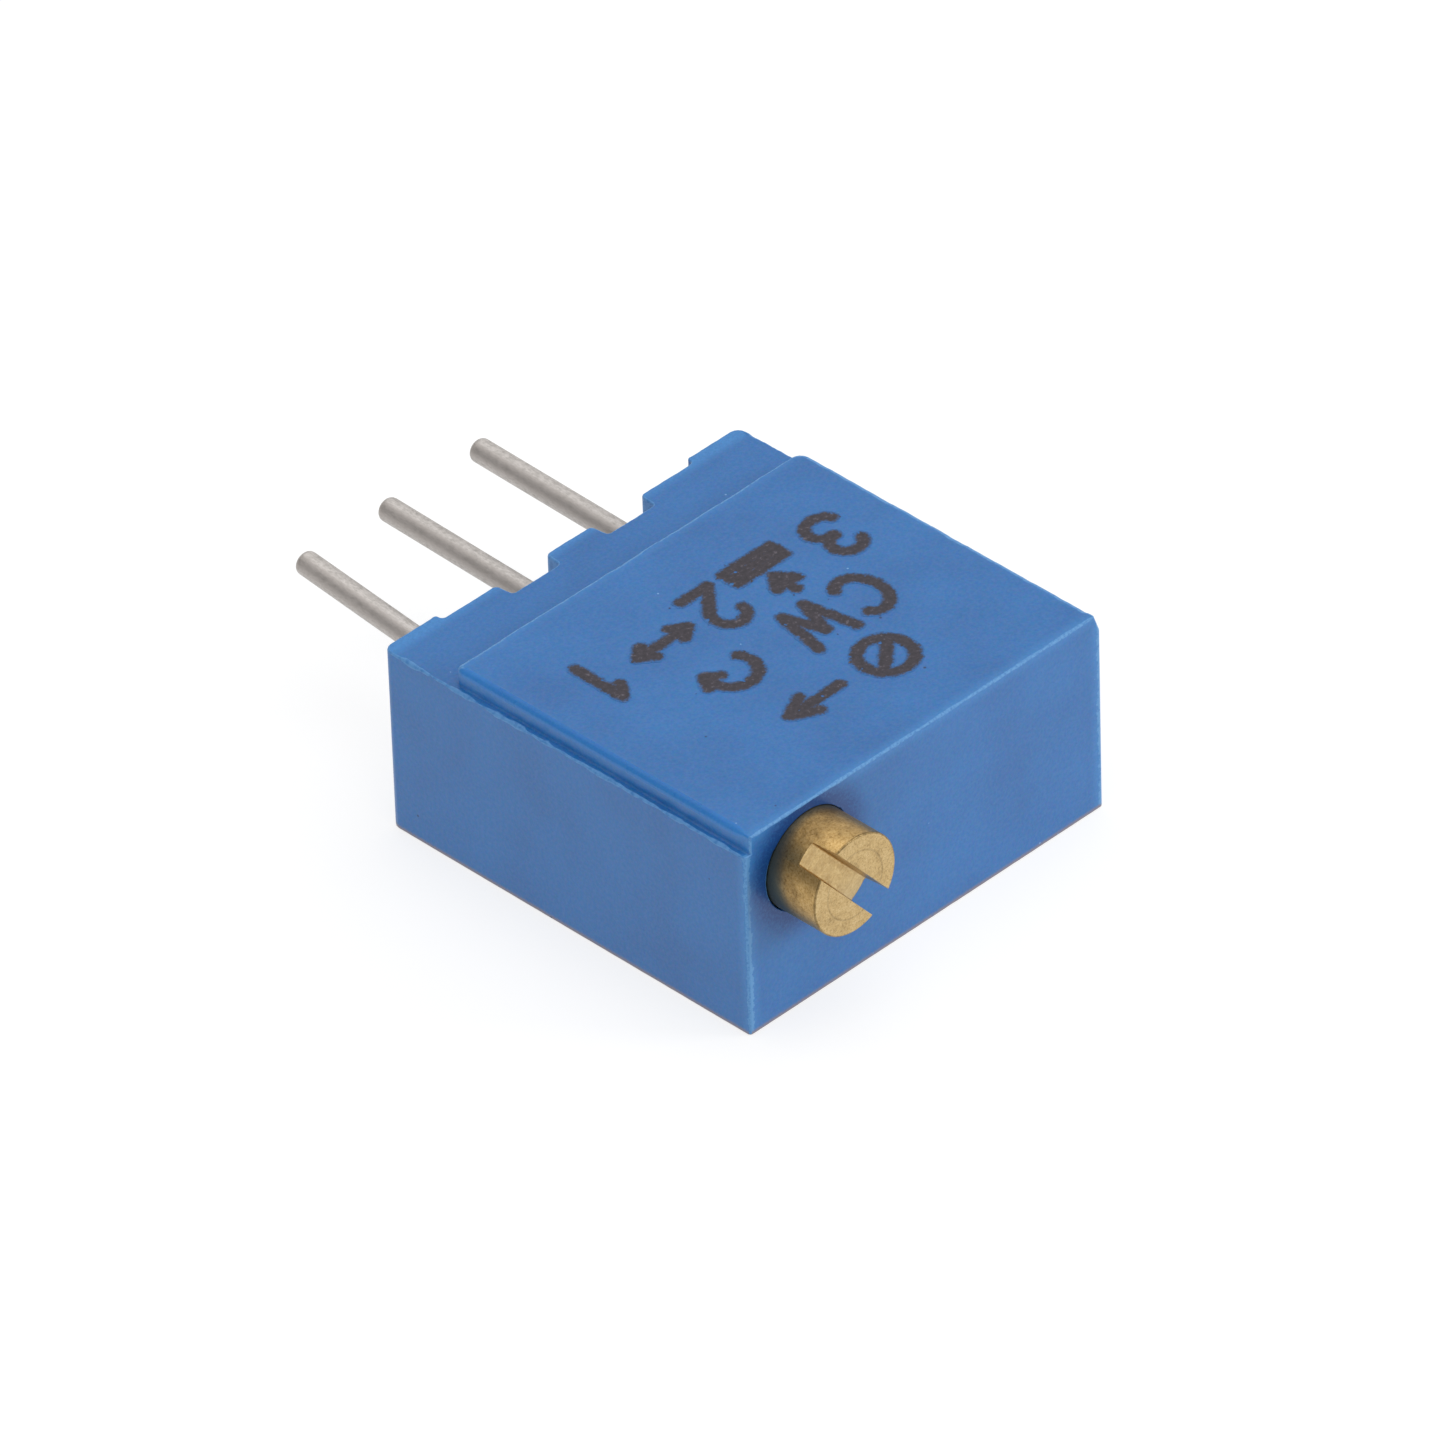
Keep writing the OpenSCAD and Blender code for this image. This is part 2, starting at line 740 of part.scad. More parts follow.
// Spring contact: a staked plate, an arm out to the arc, and two fingers that bend down to the films
module wiper() {
    rest_dir = open_dir + 180;
    color("#c99a45")
        on_rotor_axis() {
            difference() {
                union() {
                    turned(hub_r, plate_z0, hub_z);
                    rotate([0, 0, rest_dir])
                        translate([ring_r, -finger_l - arm_w, plate_z0])
                            cube([track_r + finger_w / 2 - ring_r, arm_w + eps, sheet_t]);
                }
                turned(post_r + 2 * post_gap, plate_z0 - eps, hub_z + eps);
                wiper_pegs(peg_d / 2 + touch_gap, hub_z + 2 * eps);
                rotate([0, 0, rest_dir])
                    translate([0, -finger_l, plate_z0 - eps])
                        cube([hub_r + eps, 2 * finger_l, sheet_t + 2 * eps]);
            }
            for (r = [ring_r, track_r])
                rotate([0, 0, rest_dir]) translate([r, 0, 0]) finger();
        }
}

// One finger, drawn along Y: flat at its root, sloping down to its contact line, turned up at its tip
module finger() {
    low = film_z + touch_gap;
    bend_y = -0.8 * finger_l;
    line = [
        [-finger_l - eps, plate_z0], [bend_y, plate_z0], [-contact_r, low + contact_r / 3],
        [0, low], [contact_r, low + contact_r / 3], [1.5 * contact_r, low + contact_r]
    ];
    top = [for (i = [len(line) - 1 : -1 : 0]) line[i] + [0, sheet_t]];
    translate([-finger_w / 2, 0, 0])
        rotate([90, 0, 90]) linear_extrude(finger_w) polygon(concat(line, top));
}

housing();
back_cover();
cover_seal();
pin_seal();
substrate();
resistive_track();
collector_track();
end_conductor_1();
end_conductor_3();
pin_1();
pin_2();
pin_3();
solder_1();
solder_2();
solder_3();
screw_retainer();
adjusting_screw();
o_ring();
worm_wheel();
wiper();
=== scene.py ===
"""Square multi-turn trimmer potentiometer, modelled and finished for rendering.

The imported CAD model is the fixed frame. The visible pieces are rebuilt from it with
finer edges, print, a slotted head and drawn wires, and the inner pieces keep their CAD
meshes and get their own finishes. Meshes are worked in millimetres and placed in metres.
"""

import json
import logging
import math
from collections.abc import Iterable
from dataclasses import dataclass, field
from enum import Enum

import bmesh
import bpy
import numpy as np
from mathutils import Matrix, Vector, noise


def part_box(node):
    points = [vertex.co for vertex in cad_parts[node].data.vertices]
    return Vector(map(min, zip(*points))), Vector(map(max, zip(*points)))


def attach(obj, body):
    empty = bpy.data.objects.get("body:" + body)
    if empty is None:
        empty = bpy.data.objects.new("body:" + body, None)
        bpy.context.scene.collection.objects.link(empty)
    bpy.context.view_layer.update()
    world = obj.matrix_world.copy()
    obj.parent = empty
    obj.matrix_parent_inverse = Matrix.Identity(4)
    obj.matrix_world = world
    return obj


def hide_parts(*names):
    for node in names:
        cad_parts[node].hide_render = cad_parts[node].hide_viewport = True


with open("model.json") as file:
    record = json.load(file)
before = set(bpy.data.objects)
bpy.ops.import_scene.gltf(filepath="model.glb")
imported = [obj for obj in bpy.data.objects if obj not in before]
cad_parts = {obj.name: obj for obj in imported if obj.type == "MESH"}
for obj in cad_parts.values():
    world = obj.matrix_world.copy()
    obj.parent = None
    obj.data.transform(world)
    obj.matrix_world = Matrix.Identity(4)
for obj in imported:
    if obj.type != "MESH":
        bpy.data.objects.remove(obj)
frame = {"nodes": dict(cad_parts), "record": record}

LOG = logging.getLogger("trimmer")
MM = 0.001

Mesh = bmesh.types.BMesh
Tree = bpy.types.NodeTree
Node = bpy.types.Node
Socket = bpy.types.NodeSocket
Inputs = dict[str | int, object]

WHITE = (1.0, 1.0, 1.0, 1.0)


class Body(Enum):
    """The moving bodies that a piece can ride on."""

    CASE = "case"
    SCREW = "screw"
    ROTOR = "rotor"


class EdgeKind(Enum):
    """How a moulded edge of the case came out of the tool. Two kinds also serve as painted light."""

    PLAIN = 0
    WITNESS = 1
    SCUFF_AND_PAINTED_LIGHT = 2
    GLOSSY_PAINTED_LIGHT = 3


def in_mm(place: Iterable[float]) -> tuple[float, ...]:
    """Return a place of the frame in mm, to a tenth of a micron."""
    return tuple(round(c / MM, 4) for c in place)


def mount(name: str) -> dict[str, object]:
    """Return one of the record's mounts by its name."""
    return next(m for m in frame["record"]["mounts"] if m["name"] == name)


# ---------------------------------------------------------------- places that pieces share, in mm

PANEL_INSET = 0.15
PANEL_H = 0.4
LEDGE_L = 1.8
STANDOFF_H = 0.17
INK_ROOM = 0.004
HEAD_R = 1.07
SLOT_D = 0.6

SIDE_X, FEET_Y, TOP_Z = in_mm(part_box("housing")[1])
FACE_Y = in_mm(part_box("housing")[0])[1]
BACK_Y = FEET_Y - STANDOFF_H
PANEL_X = SIDE_X - PANEL_INSET
PANEL_Y = FEET_Y - LEDGE_L
PANEL_Z = TOP_Z - INK_ROOM
LEDGE_Z = TOP_Z - PANEL_H
SCREW_X, HEAD_Y, SCREW_Z = in_mm(mount("screwdriver_slot")["pos_m"])

# Two places nearer to each other than this are the same place.
NEAR = 0.003


def same(a: float, b: float) -> bool:
    """Tell whether two coordinates in mm are the same."""
    return abs(a - b) < NEAR


# ---------------------------------------------------------------- colours, nodes and objects


def linear(code: str) -> tuple[float, float, float, float]:
    """Turn an sRGB hex colour into linear RGBA.

    Args:
        code: the colour as "#rrggbb".

    Returns:
        Red, green, blue and alpha, linear, from 0 to 1.
    """
    parts = [int(code[i : i + 2], 16) / 255 for i in (1, 3, 5)]
    r, g, b = (c / 12.92 if c <= 0.04045 else ((c + 0.055) / 1.055) ** 2.4 for c in parts)
    return r, g, b, 1.0


def per_mm(size: float) -> float:
    """Return the texture scale, on coordinates in metres, of a pattern whose features are size mm."""
    return 1 / (size * MM)


def add_node(
    tree: Tree,
    kind: str,
    settings: dict[str, object] | None = None,
    inputs: Inputs | None = None,
    stops: list[tuple[float, str]] | None = None,
) -> Node:
    """Add a node with its settings, input values and links.

    Args:
        tree: the material's or world's node tree.
        kind: the node's type without its "ShaderNode" prefix.
        settings: the node's own properties by name.
        inputs: a value, or an output to link from, for each input by name or number.
        stops: positions and colours, where the node is a colour ramp.

    Returns:
        The node.
    """
    node = tree.nodes.new("ShaderNode" + kind)
    for name, value in (settings or {}).items():
        setattr(node, name, value)
    for name, value in (inputs or {}).items():
        if isinstance(value, Socket):
            tree.links.new(value, node.inputs[name])
        else:
            node.inputs[name].default_value = value
    if stops:
        ramp = node.color_ramp.elements
        while len(ramp) < len(stops):
            ramp.new(0.5)
        for element, (position, code) in zip(ramp, stops):
            element.position = position
            element.color = linear(code)
    return node


def empty_tree(owner: bpy.types.Material | bpy.types.World) -> Tree:
    """Switch the nodes of a material or a world on, and clear them.

    Args:
        owner: the material or world.

    Returns:
        Its empty node tree.
    """
    owner.use_nodes = True
    owner.node_tree.nodes.clear()
    return owner.node_tree


def add_object(name: str, data: bpy.types.ID) -> bpy.types.Object:
    """Add an object to the scene.

    Args:
        name: the object's name.
        data: its mesh, lamp or camera.

    Returns:
        The object.
    """
    made = bpy.data.objects.new(name, data)
    bpy.context.scene.collection.objects.link(made)
    return made


def mesh_object(name: str, bm: Mesh) -> bpy.types.Object:
    """Turn a mesh that is being worked on into an object of the scene, and use it up.

    Args:
        name: the object's name, and its mesh's.
        bm: the mesh.

    Returns:
        The object.
    """
    mesh = bpy.data.meshes.new(name)
    bm.to_mesh(mesh)
    bm.free()
    return add_object(name, mesh)


# ---------------------------------------------------------------- finishes


@dataclass(frozen=True)
class Finish:
    """What every finish shares: one colour, its gloss, and a pattern laid over both."""

    name: str
    colour: str
    roughness: float
    ior: float = 1.5
    metallic: float = 0.0

    def material(self) -> bpy.types.Material:
        """Make the material on first use.

        Returns:
            The finish's material.
        """
        made = bpy.data.materials.get(self.name)
        if made is None:
            made = bpy.data.materials.new(self.name)
            tree = empty_tree(made)
            gloss: Inputs = {"Base Color": linear(self.colour), "Roughness": self.roughness}
            gloss["Metallic"] = self.metallic
            if not self.metallic:
                gloss["IOR"] = self.ior
            shader = add_node(tree, "BsdfPrincipled", inputs=gloss)
            add_node(tree, "OutputMaterial", inputs={"Surface": shader.outputs["BSDF"]})
            where = add_node(tree, "TexCoord").outputs["Object"]
            self.pattern(tree, shader, where)
        return made

    def pattern(self, tree: Tree, shader: Node, where: Socket) -> None:
        """Lay the finish's colour, gloss and relief over the shader.

        Args:
            tree: the material's node tree.
            shader: its Principled shader.
            where: object coordinates in metres.
        """
        raise NotImplementedError


@dataclass(frozen=True)
class MouldedPlastic(Finish):
    """Glass-filled thermoplastic polyester, injection moulded: an even satin face with
    faint flow clouds, fine grain from the tool, and stray dark and pale specks."""

    pale: str = "#2574b8"
    deep: str = "#1869ac"
    blush: str = "#2d0b09"
    border: str = "#4390d4"
    cloud: float = 1.6
    grain: float = 0.05
    relief: float = 0.0022
    side_x: float = SIDE_X - 0.065
    face_y: float = FACE_Y
    rear_y: float = PANEL_Y
    back_y: float = BACK_Y
    ledge_z: float = LEDGE_Z
    top_z: float = PANEL_Z
    border_w: float = 0.3
    chip: str = "#5f9cd2"
    chip_w: float = 0.16
    bore: tuple[float, float, float] = (SCREW_X, FACE_Y, SCREW_Z)
    # Painted shadow round the screw: its darker blue, and the radii where it starts and where it is full.
    screw_shadow: str = "#05458b"
    screw_shadow_r: float = 1.85
    screw_shadow_core_r: float = 1.0
    # Painted contact shade along the foot: its grey, and how high it reaches.
    foot_shade: str = "#857f8c"
    foot_shade_h: float = 0.13

    def pattern(self, tree: Tree, shader: Node, where: Socket) -> None:
        """Lay clouds, tool grain, wear and specks over the plastic's colour, with a painted
        shadow round the screw and painted shade along the foot.

        Args:
            tree: the material's node tree.
            shader: its Principled shader.
            where: object coordinates in metres.
        """
        clouds = add_node(
            tree, "TexNoise", inputs={"Vector": where, "Scale": per_mm(self.cloud), "Detail": 3.0}
        )
        base = add_node(
            tree,
            "ValToRGB",
            inputs={0: clouds.outputs["Fac"]},
            stops=[(0.3, self.deep), (0.5, self.colour), (0.72, self.pale)],
        )
        # Glass fibres of 0.01 mm are too fine to show, so the grain is drawn at 0.05 mm.
        grain = add_node(
            tree,
            "TexNoise",
            inputs={"Vector": where, "Scale": per_mm(self.grain), "Detail": 2.0, "Roughness": 0.7},
        )
        grained = add_node(
            tree,
            "Mix",
            {"data_type": "RGBA", "blend_type": "SOFT_LIGHT"},
            {0: 0.42, 6: base.outputs["Color"], 7: grain.outputs["Color"]},
        )
        # The glass lies nearer the skin in places, which warms the blue a little.
        drift = add_node(
            tree, "TexNoise", inputs={"Vector": where, "Scale": per_mm(0.085), "Detail": 3.0}
        )
        warm = add_node(
            tree,
            "MapRange",
            inputs={"Value": drift.outputs["Fac"], "From Min": 0.36, "From Max": 0.64},
        )
        blushed = add_node(
            tree,
            "Mix",
            {"data_type": "RGBA", "blend_type": "ADD"},
            {0: warm.outputs["Result"], 6: grained.outputs[2], 7: linear(self.blush)},
        )
        fine = grain.outputs["Fac"]
        split = add_node(tree, "SeparateXYZ", inputs={"Vector": where})
        gaps = self.edge_gaps(tree, split)
        colour = self.border_front(tree, gaps, blushed.outputs[2], fine)
        colour = self.border_rear(tree, split, colour, fine)
        colour = self.chip_corners(tree, where, gaps[1], colour)
        # Painted shadow: darker blue on the front round the screw.
        colour = self.paint_screw_shadow(tree, where, split, colour, fine)
        # Painted shade: a grey band along the foot of the walls.
        colour = self.paint_foot_shade(tree, split, colour, fine)
        # Stray grains of burnt resin and dust, 0.03 to 0.07 mm across.
        for cell, radius, share, code in (
            (0.62, 0.036, 0.3, "#173a66"),
            (0.5, 0.026, 0.22, "#79aad8"),
        ):
            cells = add_node(
                tree, "TexVoronoi", inputs={"Vector": where, "Scale": per_mm(cell), "Randomness": 1.0}
            )
            spot = add_node(
                tree,
                "MapRange",
                inputs={
                    "Value": cells.outputs["Distance"],
                    "From Min": radius / cell,
                    "From Max": 0.55 * radius / cell,
                },
            )
            chosen = add_node(
                tree, "SeparateColor", inputs={"Color": cells.outputs["Color"]}
            )
            kept = add_node(
                tree,
                "Math",
                {"operation": "LESS_THAN"},
                {0: chosen.outputs["Red"], 1: share},
            )
            mask = add_node(
                tree,
                "Math",
                {"operation": "MULTIPLY"},
                {0: spot.outputs["Result"], 1: kept.outputs["Value"]},
            )
            dotted = add_node(
                tree,
                "Mix",
                {"data_type": "RGBA"},
                {0: mask.outputs["Value"], 6: colour, 7: linear(code)},
            )
            colour = dotted.outputs[2]
        tree.links.new(colour, shader.inputs["Base Color"])
        gloss = add_node(
            tree,
            "MapRange",
            inputs={
                "Value": clouds.outputs["Fac"],
                "From Min": 0.3,
                "From Max": 0.7,
                "To Min": self.roughness - 0.05,
                "To Max": self.roughness + 0.06,
            },
        )
        tree.links.new(gloss.outputs["Result"], shader.inputs["Roughness"])
        bump = add_node(
            tree,
            "Bump",
            inputs={
                "Height": grain.outputs["Fac"],
                "Strength": 0.6,
                "Distance": self.relief * MM,
            },
        )
        tree.links.new(bump.outputs["Normal"], shader.inputs["Normal"])

    def edge_gaps(self, tree: Tree, split: Node) -> tuple[Socket, Socket, Socket]:
        """Measure how far a point lies from the case's sides, its front and its top.

        Args:
            tree: the material's node tree.
            split: object coordinates in metres, split up.

        Returns:
            The smaller and the larger of the gaps to the side and to the front, and the gap
            to the top, in metres.
        """
        off_middle = add_node(tree, "Math", {"operation": "ABSOLUTE"}, {0: split.outputs["X"]})
        x, y, z = (
            add_node(tree, "Math", {"operation": "SUBTRACT"}, {0: high, 1: low}).outputs["Value"]
            for high, low in (
                (self.side_x * MM, off_middle.outputs["Value"]),
                (split.outputs["Y"], self.face_y * MM),
                (self.top_z * MM, split.outputs["Z"]),
            )
        )
        nearer = add_node(tree, "Math", {"operation": "MINIMUM"}, {0: x, 1: y})
        farther = add_node(tree, "Math", {"operation": "MAXIMUM"}, {0: x, 1: y})
        return nearer.outputs["Value"], farther.outputs["Value"], z

    def border_front(
        self, tree: Tree, gaps: tuple[Socket, Socket, Socket], colour: Socket, grain: Socket
    ) -> Socket:
        """Fade the colour paler beside the case's front and upper edges, as handling does.

        Args:
            tree: the material's node tree.
            gaps: the gaps to the nearer and the farther wall, and to the top.
            colour: the plastic's colour so far.
            grain: the fine noise that breaks the fade up.

        Returns:
            The faded colour.
        """
        # The second smallest of the three gaps is the distance to the nearest edge.
        nearer, farther, below = gaps
        capped = add_node(tree, "Math", {"operation": "MINIMUM"}, {0: farther, 1: below})
        gap = add_node(tree, "Math", {"operation": "MAXIMUM"}, {0: nearer, 1: capped.outputs[0]})
        fade = add_node(
            tree,
            "MapRange",
            {"interpolation_type": "SMOOTHSTEP"},
            {
                "Value": gap.outputs[0],
                "From Min": self.border_w * MM,
                "From Max": 0.0,
                "To Max": 0.85,
            },
        )
        broken = add_node(tree, "Math", {"operation": "MULTIPLY"}, {0: fade.outputs[0], 1: grain})
        mixed = add_node(
            tree,
            "Mix",
            {"data_type": "RGBA"},
            {0: broken.outputs[0], 6: colour, 7: linear(self.border)},
        )
        return mixed.outputs[2]

    def border_rear(self, tree: Tree, split: Node, colour: Socket, grain: Socket) -> Socket:
        """Fade the colour paler beside the rear edges of the panel and of the ledge.

        Args:
            tree: the material's node tree.
            split: object coordinates in metres, split up.
            colour: the plastic's colour so far.
            grain: the fine noise that breaks the fade up.

        Returns:
            The faded colour.
        """
        for end_y, above_z, strength in (
            (self.rear_y, self.top_z - 0.05, 0.7),
            (self.back_y, self.ledge_z - 0.02, 1.2),
        ):
            behind = add_node(
                tree,
                "MapRange",
                {"interpolation_type": "SMOOTHSTEP"},
                {
                    "Value": split.outputs["Y"],
                    "From Min": (end_y - self.border_w) * MM,
                    "From Max": end_y * MM,
                    "To Max": strength,
                },
            )
            above = add_node(
                tree, "Math", {"operation": "GREATER_THAN"}, {0: split.outputs["Z"], 1: above_z * MM}
            )
            rear = add_node(
                tree,
                "Math",
                {"operation": "MULTIPLY"},
                {0: behind.outputs["Result"], 1: above.outputs["Value"]},
            )
            broken_rear = add_node(
                tree,
                "Math",
                {"operation": "MULTIPLY", "use_clamp": True},
                {0: rear.outputs["Value"], 1: grain},
            )
            bordered = add_node(
                tree,
                "Mix",
                {"data_type": "RGBA"},
                {0: broken_rear.outputs["Value"], 6: colour, 7: linear(self.border)},
            )
            colour = bordered.outputs[2]
        return colour

    def chip_corners(self, tree: Tree, where: Socket, gap: Socket, colour: Socket) -> Socket:
        """Chip the upright corners pale, as handling does, in patches of about 0.16 mm.

        Args:
            tree: the material's node tree.
            where: object coordinates in metres.
            gap: how far the farther of the side and the front is, in metres.
            colour: the plastic's colour so far.

        Returns:
            The chipped colour.
        """
        chips = add_node(
            tree,
            "TexNoise",
            inputs={"Vector": where, "Scale": per_mm(0.16), "Detail": 3.0, "Roughness": 0.7},
        )
        by_corner = add_node(
            tree,
            "MapRange",
            inputs={
                "Value": gap,
                "From Min": self.chip_w * MM,
                "From Max": 0.0,
                "To Min": -0.36,
                "To Max": 0.2,
            },
        )
        chipped = add_node(
            tree,
            "Math",
            {"operation": "ADD"},
            {0: chips.outputs["Fac"], 1: by_corner.outputs["Result"]},
        )
        chip = add_node(
            tree,
            "MapRange",
            inputs={"Value": chipped.outputs["Value"], "From Min": 0.5, "From Max": 0.6, "To Max": 0.85},
        )
        chipped_pale = add_node(
            tree,
            "Mix",
            {"data_type": "RGBA"},
            {0: chip.outputs["Result"], 6: colour, 7: linear(self.chip)},
        )
        return chipped_pale.outputs[2]

    def paint_screw_shadow(
        self, tree: Tree, where: Socket, split: Node, colour: Socket, grain: Socket
    ) -> Socket:
        """Paint a shadow on the front round the screw: a darker, deeper blue that stands in for the screw's
        shade.

        Args:
            tree: the material's node tree.
            where: object coordinates in metres.
            split: the same coordinates, split up.
            colour: the plastic's colour so far.
            grain: the fine noise that breaks the painted shadow up.

        Returns:
            The colour with its painted shadow.
        """
        from_screw = add_node(
            tree,
            "VectorMath",
            {"operation": "DISTANCE"},
            {0: where, 1: tuple(c * MM for c in self.bore)},
        )
        shadow_fade = add_node(
            tree,
            "MapRange",
            {"interpolation_type": "SMOOTHSTEP"},
            {
                "Value": from_screw.outputs["Value"],
                "From Min": self.screw_shadow_r * MM,
                "From Max": self.screw_shadow_core_r * MM,
                "To Max": 2.3,
            },
        )
        on_front = add_node(
            tree,
            "Math",
            {"operation": "LESS_THAN"},
            {0: split.outputs["Y"], 1: (self.face_y + 0.02) * MM},
        )
        shadow_on_front = add_node(
            tree,
            "Math",
            {"operation": "MULTIPLY"},
            {0: shadow_fade.outputs["Result"], 1: on_front.outputs["Value"]},
        )
        broken_shadow = add_node(
            tree,
            "Math",
            {"operation": "MULTIPLY", "use_clamp": True},
            {0: shadow_on_front.outputs["Value"], 1: grain},
        )
        # Painted shadow: mix towards the darker blue near the screw.
        shadowed = add_node(
            tree,
            "Mix",
            {"data_type": "RGBA"},
            {0: broken_shadow.outputs["Value"], 6: colour, 7: linear(self.screw_shadow)},
        )
        return shadowed.outputs[2]

    def paint_foot_shade(self, tree: Tree, split: Node, colour: Socket, grain: Socket) -> Socket:
        """Paint shade along the lowest edge: a greyer, darker band where the case meets the floor, standing
        in for the contact shadow.

        Args:
            tree: the material's node tree.
            split: object coordinates in metres, split up.
            colour: the plastic's colour so far.
            grain: the fine noise that breaks the painted shade up.

        Returns:
            The colour with its painted shade.
        """
        low = add_node(
            tree,
            "MapRange",
            {"interpolation_type": "SMOOTHSTEP"},
            {
                "Value": split.outputs["Z"],
                "From Min": self.foot_shade_h * MM,
                "From Max": 0.0,
                "To Max": 2.6,
            },
        )
        foot_shaded = add_node(
            tree, "Math", {"operation": "MULTIPLY", "use_clamp": True}, {0: low.outputs["Result"], 1: grain}
        )
        # Painted shade: mix towards grey along the foot.
        lowest = add_node(
            tree,
            "Mix",
            {"data_type": "RGBA"},
            {0: foot_shaded.outputs["Value"], 6: colour, 7: linear(self.foot_shade)},
        )
        return lowest.outputs[2]


@dataclass(frozen=True)
class WitnessEdge(Finish):
    """The same plastic where the tool's parting line scuffed and stressed it: a broken
    pale line that fades into the face's colour."""

    face: str = "#346fae"
    grain: float = 0.12
    share: float = 0.5

    def pattern(self, tree: Tree, shader: Node, where: Socket) -> None:
        """Break the pale line up along its length.

        Args:
            tree: the material's node tree.
            shader: its Principled shader.
            where: object coordinates in metres.
        """
        scuff = add_node(
            tree,
            "TexNoise",
            inputs={"Vector": where, "Scale": per_mm(self.grain), "Detail": 4.0, "Roughness": 0.65},
        )
        colour = add_node(
            tree,
            "ValToRGB",
            inputs={0: scuff.outputs["Fac"]},
            stops=[(0.66 - 0.5 * self.share, self.face), (0.78 - 0.3 * self.share, self.colour)],
        )
        tree.links.new(colour.outputs["Color"], shader.inputs["Base Color"])
        bump = add_node(
            tree,
            "Bump",
            inputs={"Height": scuff.outputs["Fac"], "Strength": 0.5, "Distance": 0.004 * MM},
        )
        tree.links.new(bump.outputs["Normal"], shader.inputs["Normal"])


@dataclass(frozen=True)
class PadInk(Finish):
    """Black pad-printing ink, cured: a dry, nearly black film that thins out into the blue at
    its ragged rim and lets a little pale dust through."""

    thin: str = "#38313a"
    fleck: str = "#6d6870"
    beneath: str = "#2b6fb3"
    rim: float = 0.085

    def pattern(self, tree: Tree, shader: Node, where: Socket) -> None:
        """Mottle the film where it lies thin, and fade it at its rim.

        Args:
            tree: the material's node tree.
            shader: its Principled shader.
            where: object coordinates in metres.
        """
        film = add_node(
            tree,
            "TexNoise",
            inputs={"Vector": where, "Scale": per_mm(0.09), "Detail": 4.0, "Roughness": 0.7},
        )
        colour = add_node(
            tree,
            "ValToRGB",
            inputs={0: film.outputs["Fac"]},
            stops=[(0.36, self.colour), (0.6, self.thin), (0.74, self.fleck)],
        )
        depth = add_node(tree, "Attribute", {"attribute_name": "film_depth"})
        # The ink's grains of 0.01 mm are too fine to show, so they are drawn at 0.04 mm.
        grains = add_node(
            tree,
            "TexNoise",
            inputs={"Vector": where, "Scale": per_mm(0.04), "Detail": 2.0, "Roughness": 0.6},
        )
        ragged = add_node(
            tree,
            "Math",
            {"operation": "MULTIPLY_ADD"},
            {0: grains.outputs["Fac"], 1: 1.4 * self.rim, 2: depth.outputs["Fac"]},
        )
        cover = add_node(
            tree,
            "MapRange",
            {"interpolation_type": "SMOOTHSTEP"},
            {
                "Value": ragged.outputs["Value"],
                "From Min": 0.55 * self.rim,
                "From Max": 1.7 * self.rim,
            },
        )
        faded = add_node(
            tree,
            "Mix",
            {"data_type": "RGBA"},
            {0: cover.outputs["Result"], 6: linear(self.beneath), 7: colour.outputs["Color"]},
        )
        tree.links.new(faded.outputs[2], shader.inputs["Base Color"])
        bump = add_node(
            tree,
            "Bump",
            inputs={"Height": film.outputs["Fac"], "Strength": 0.6, "Distance": 0.004 * MM},
        )
        tree.links.new(bump.outputs["Normal"], shader.inputs["Normal"])


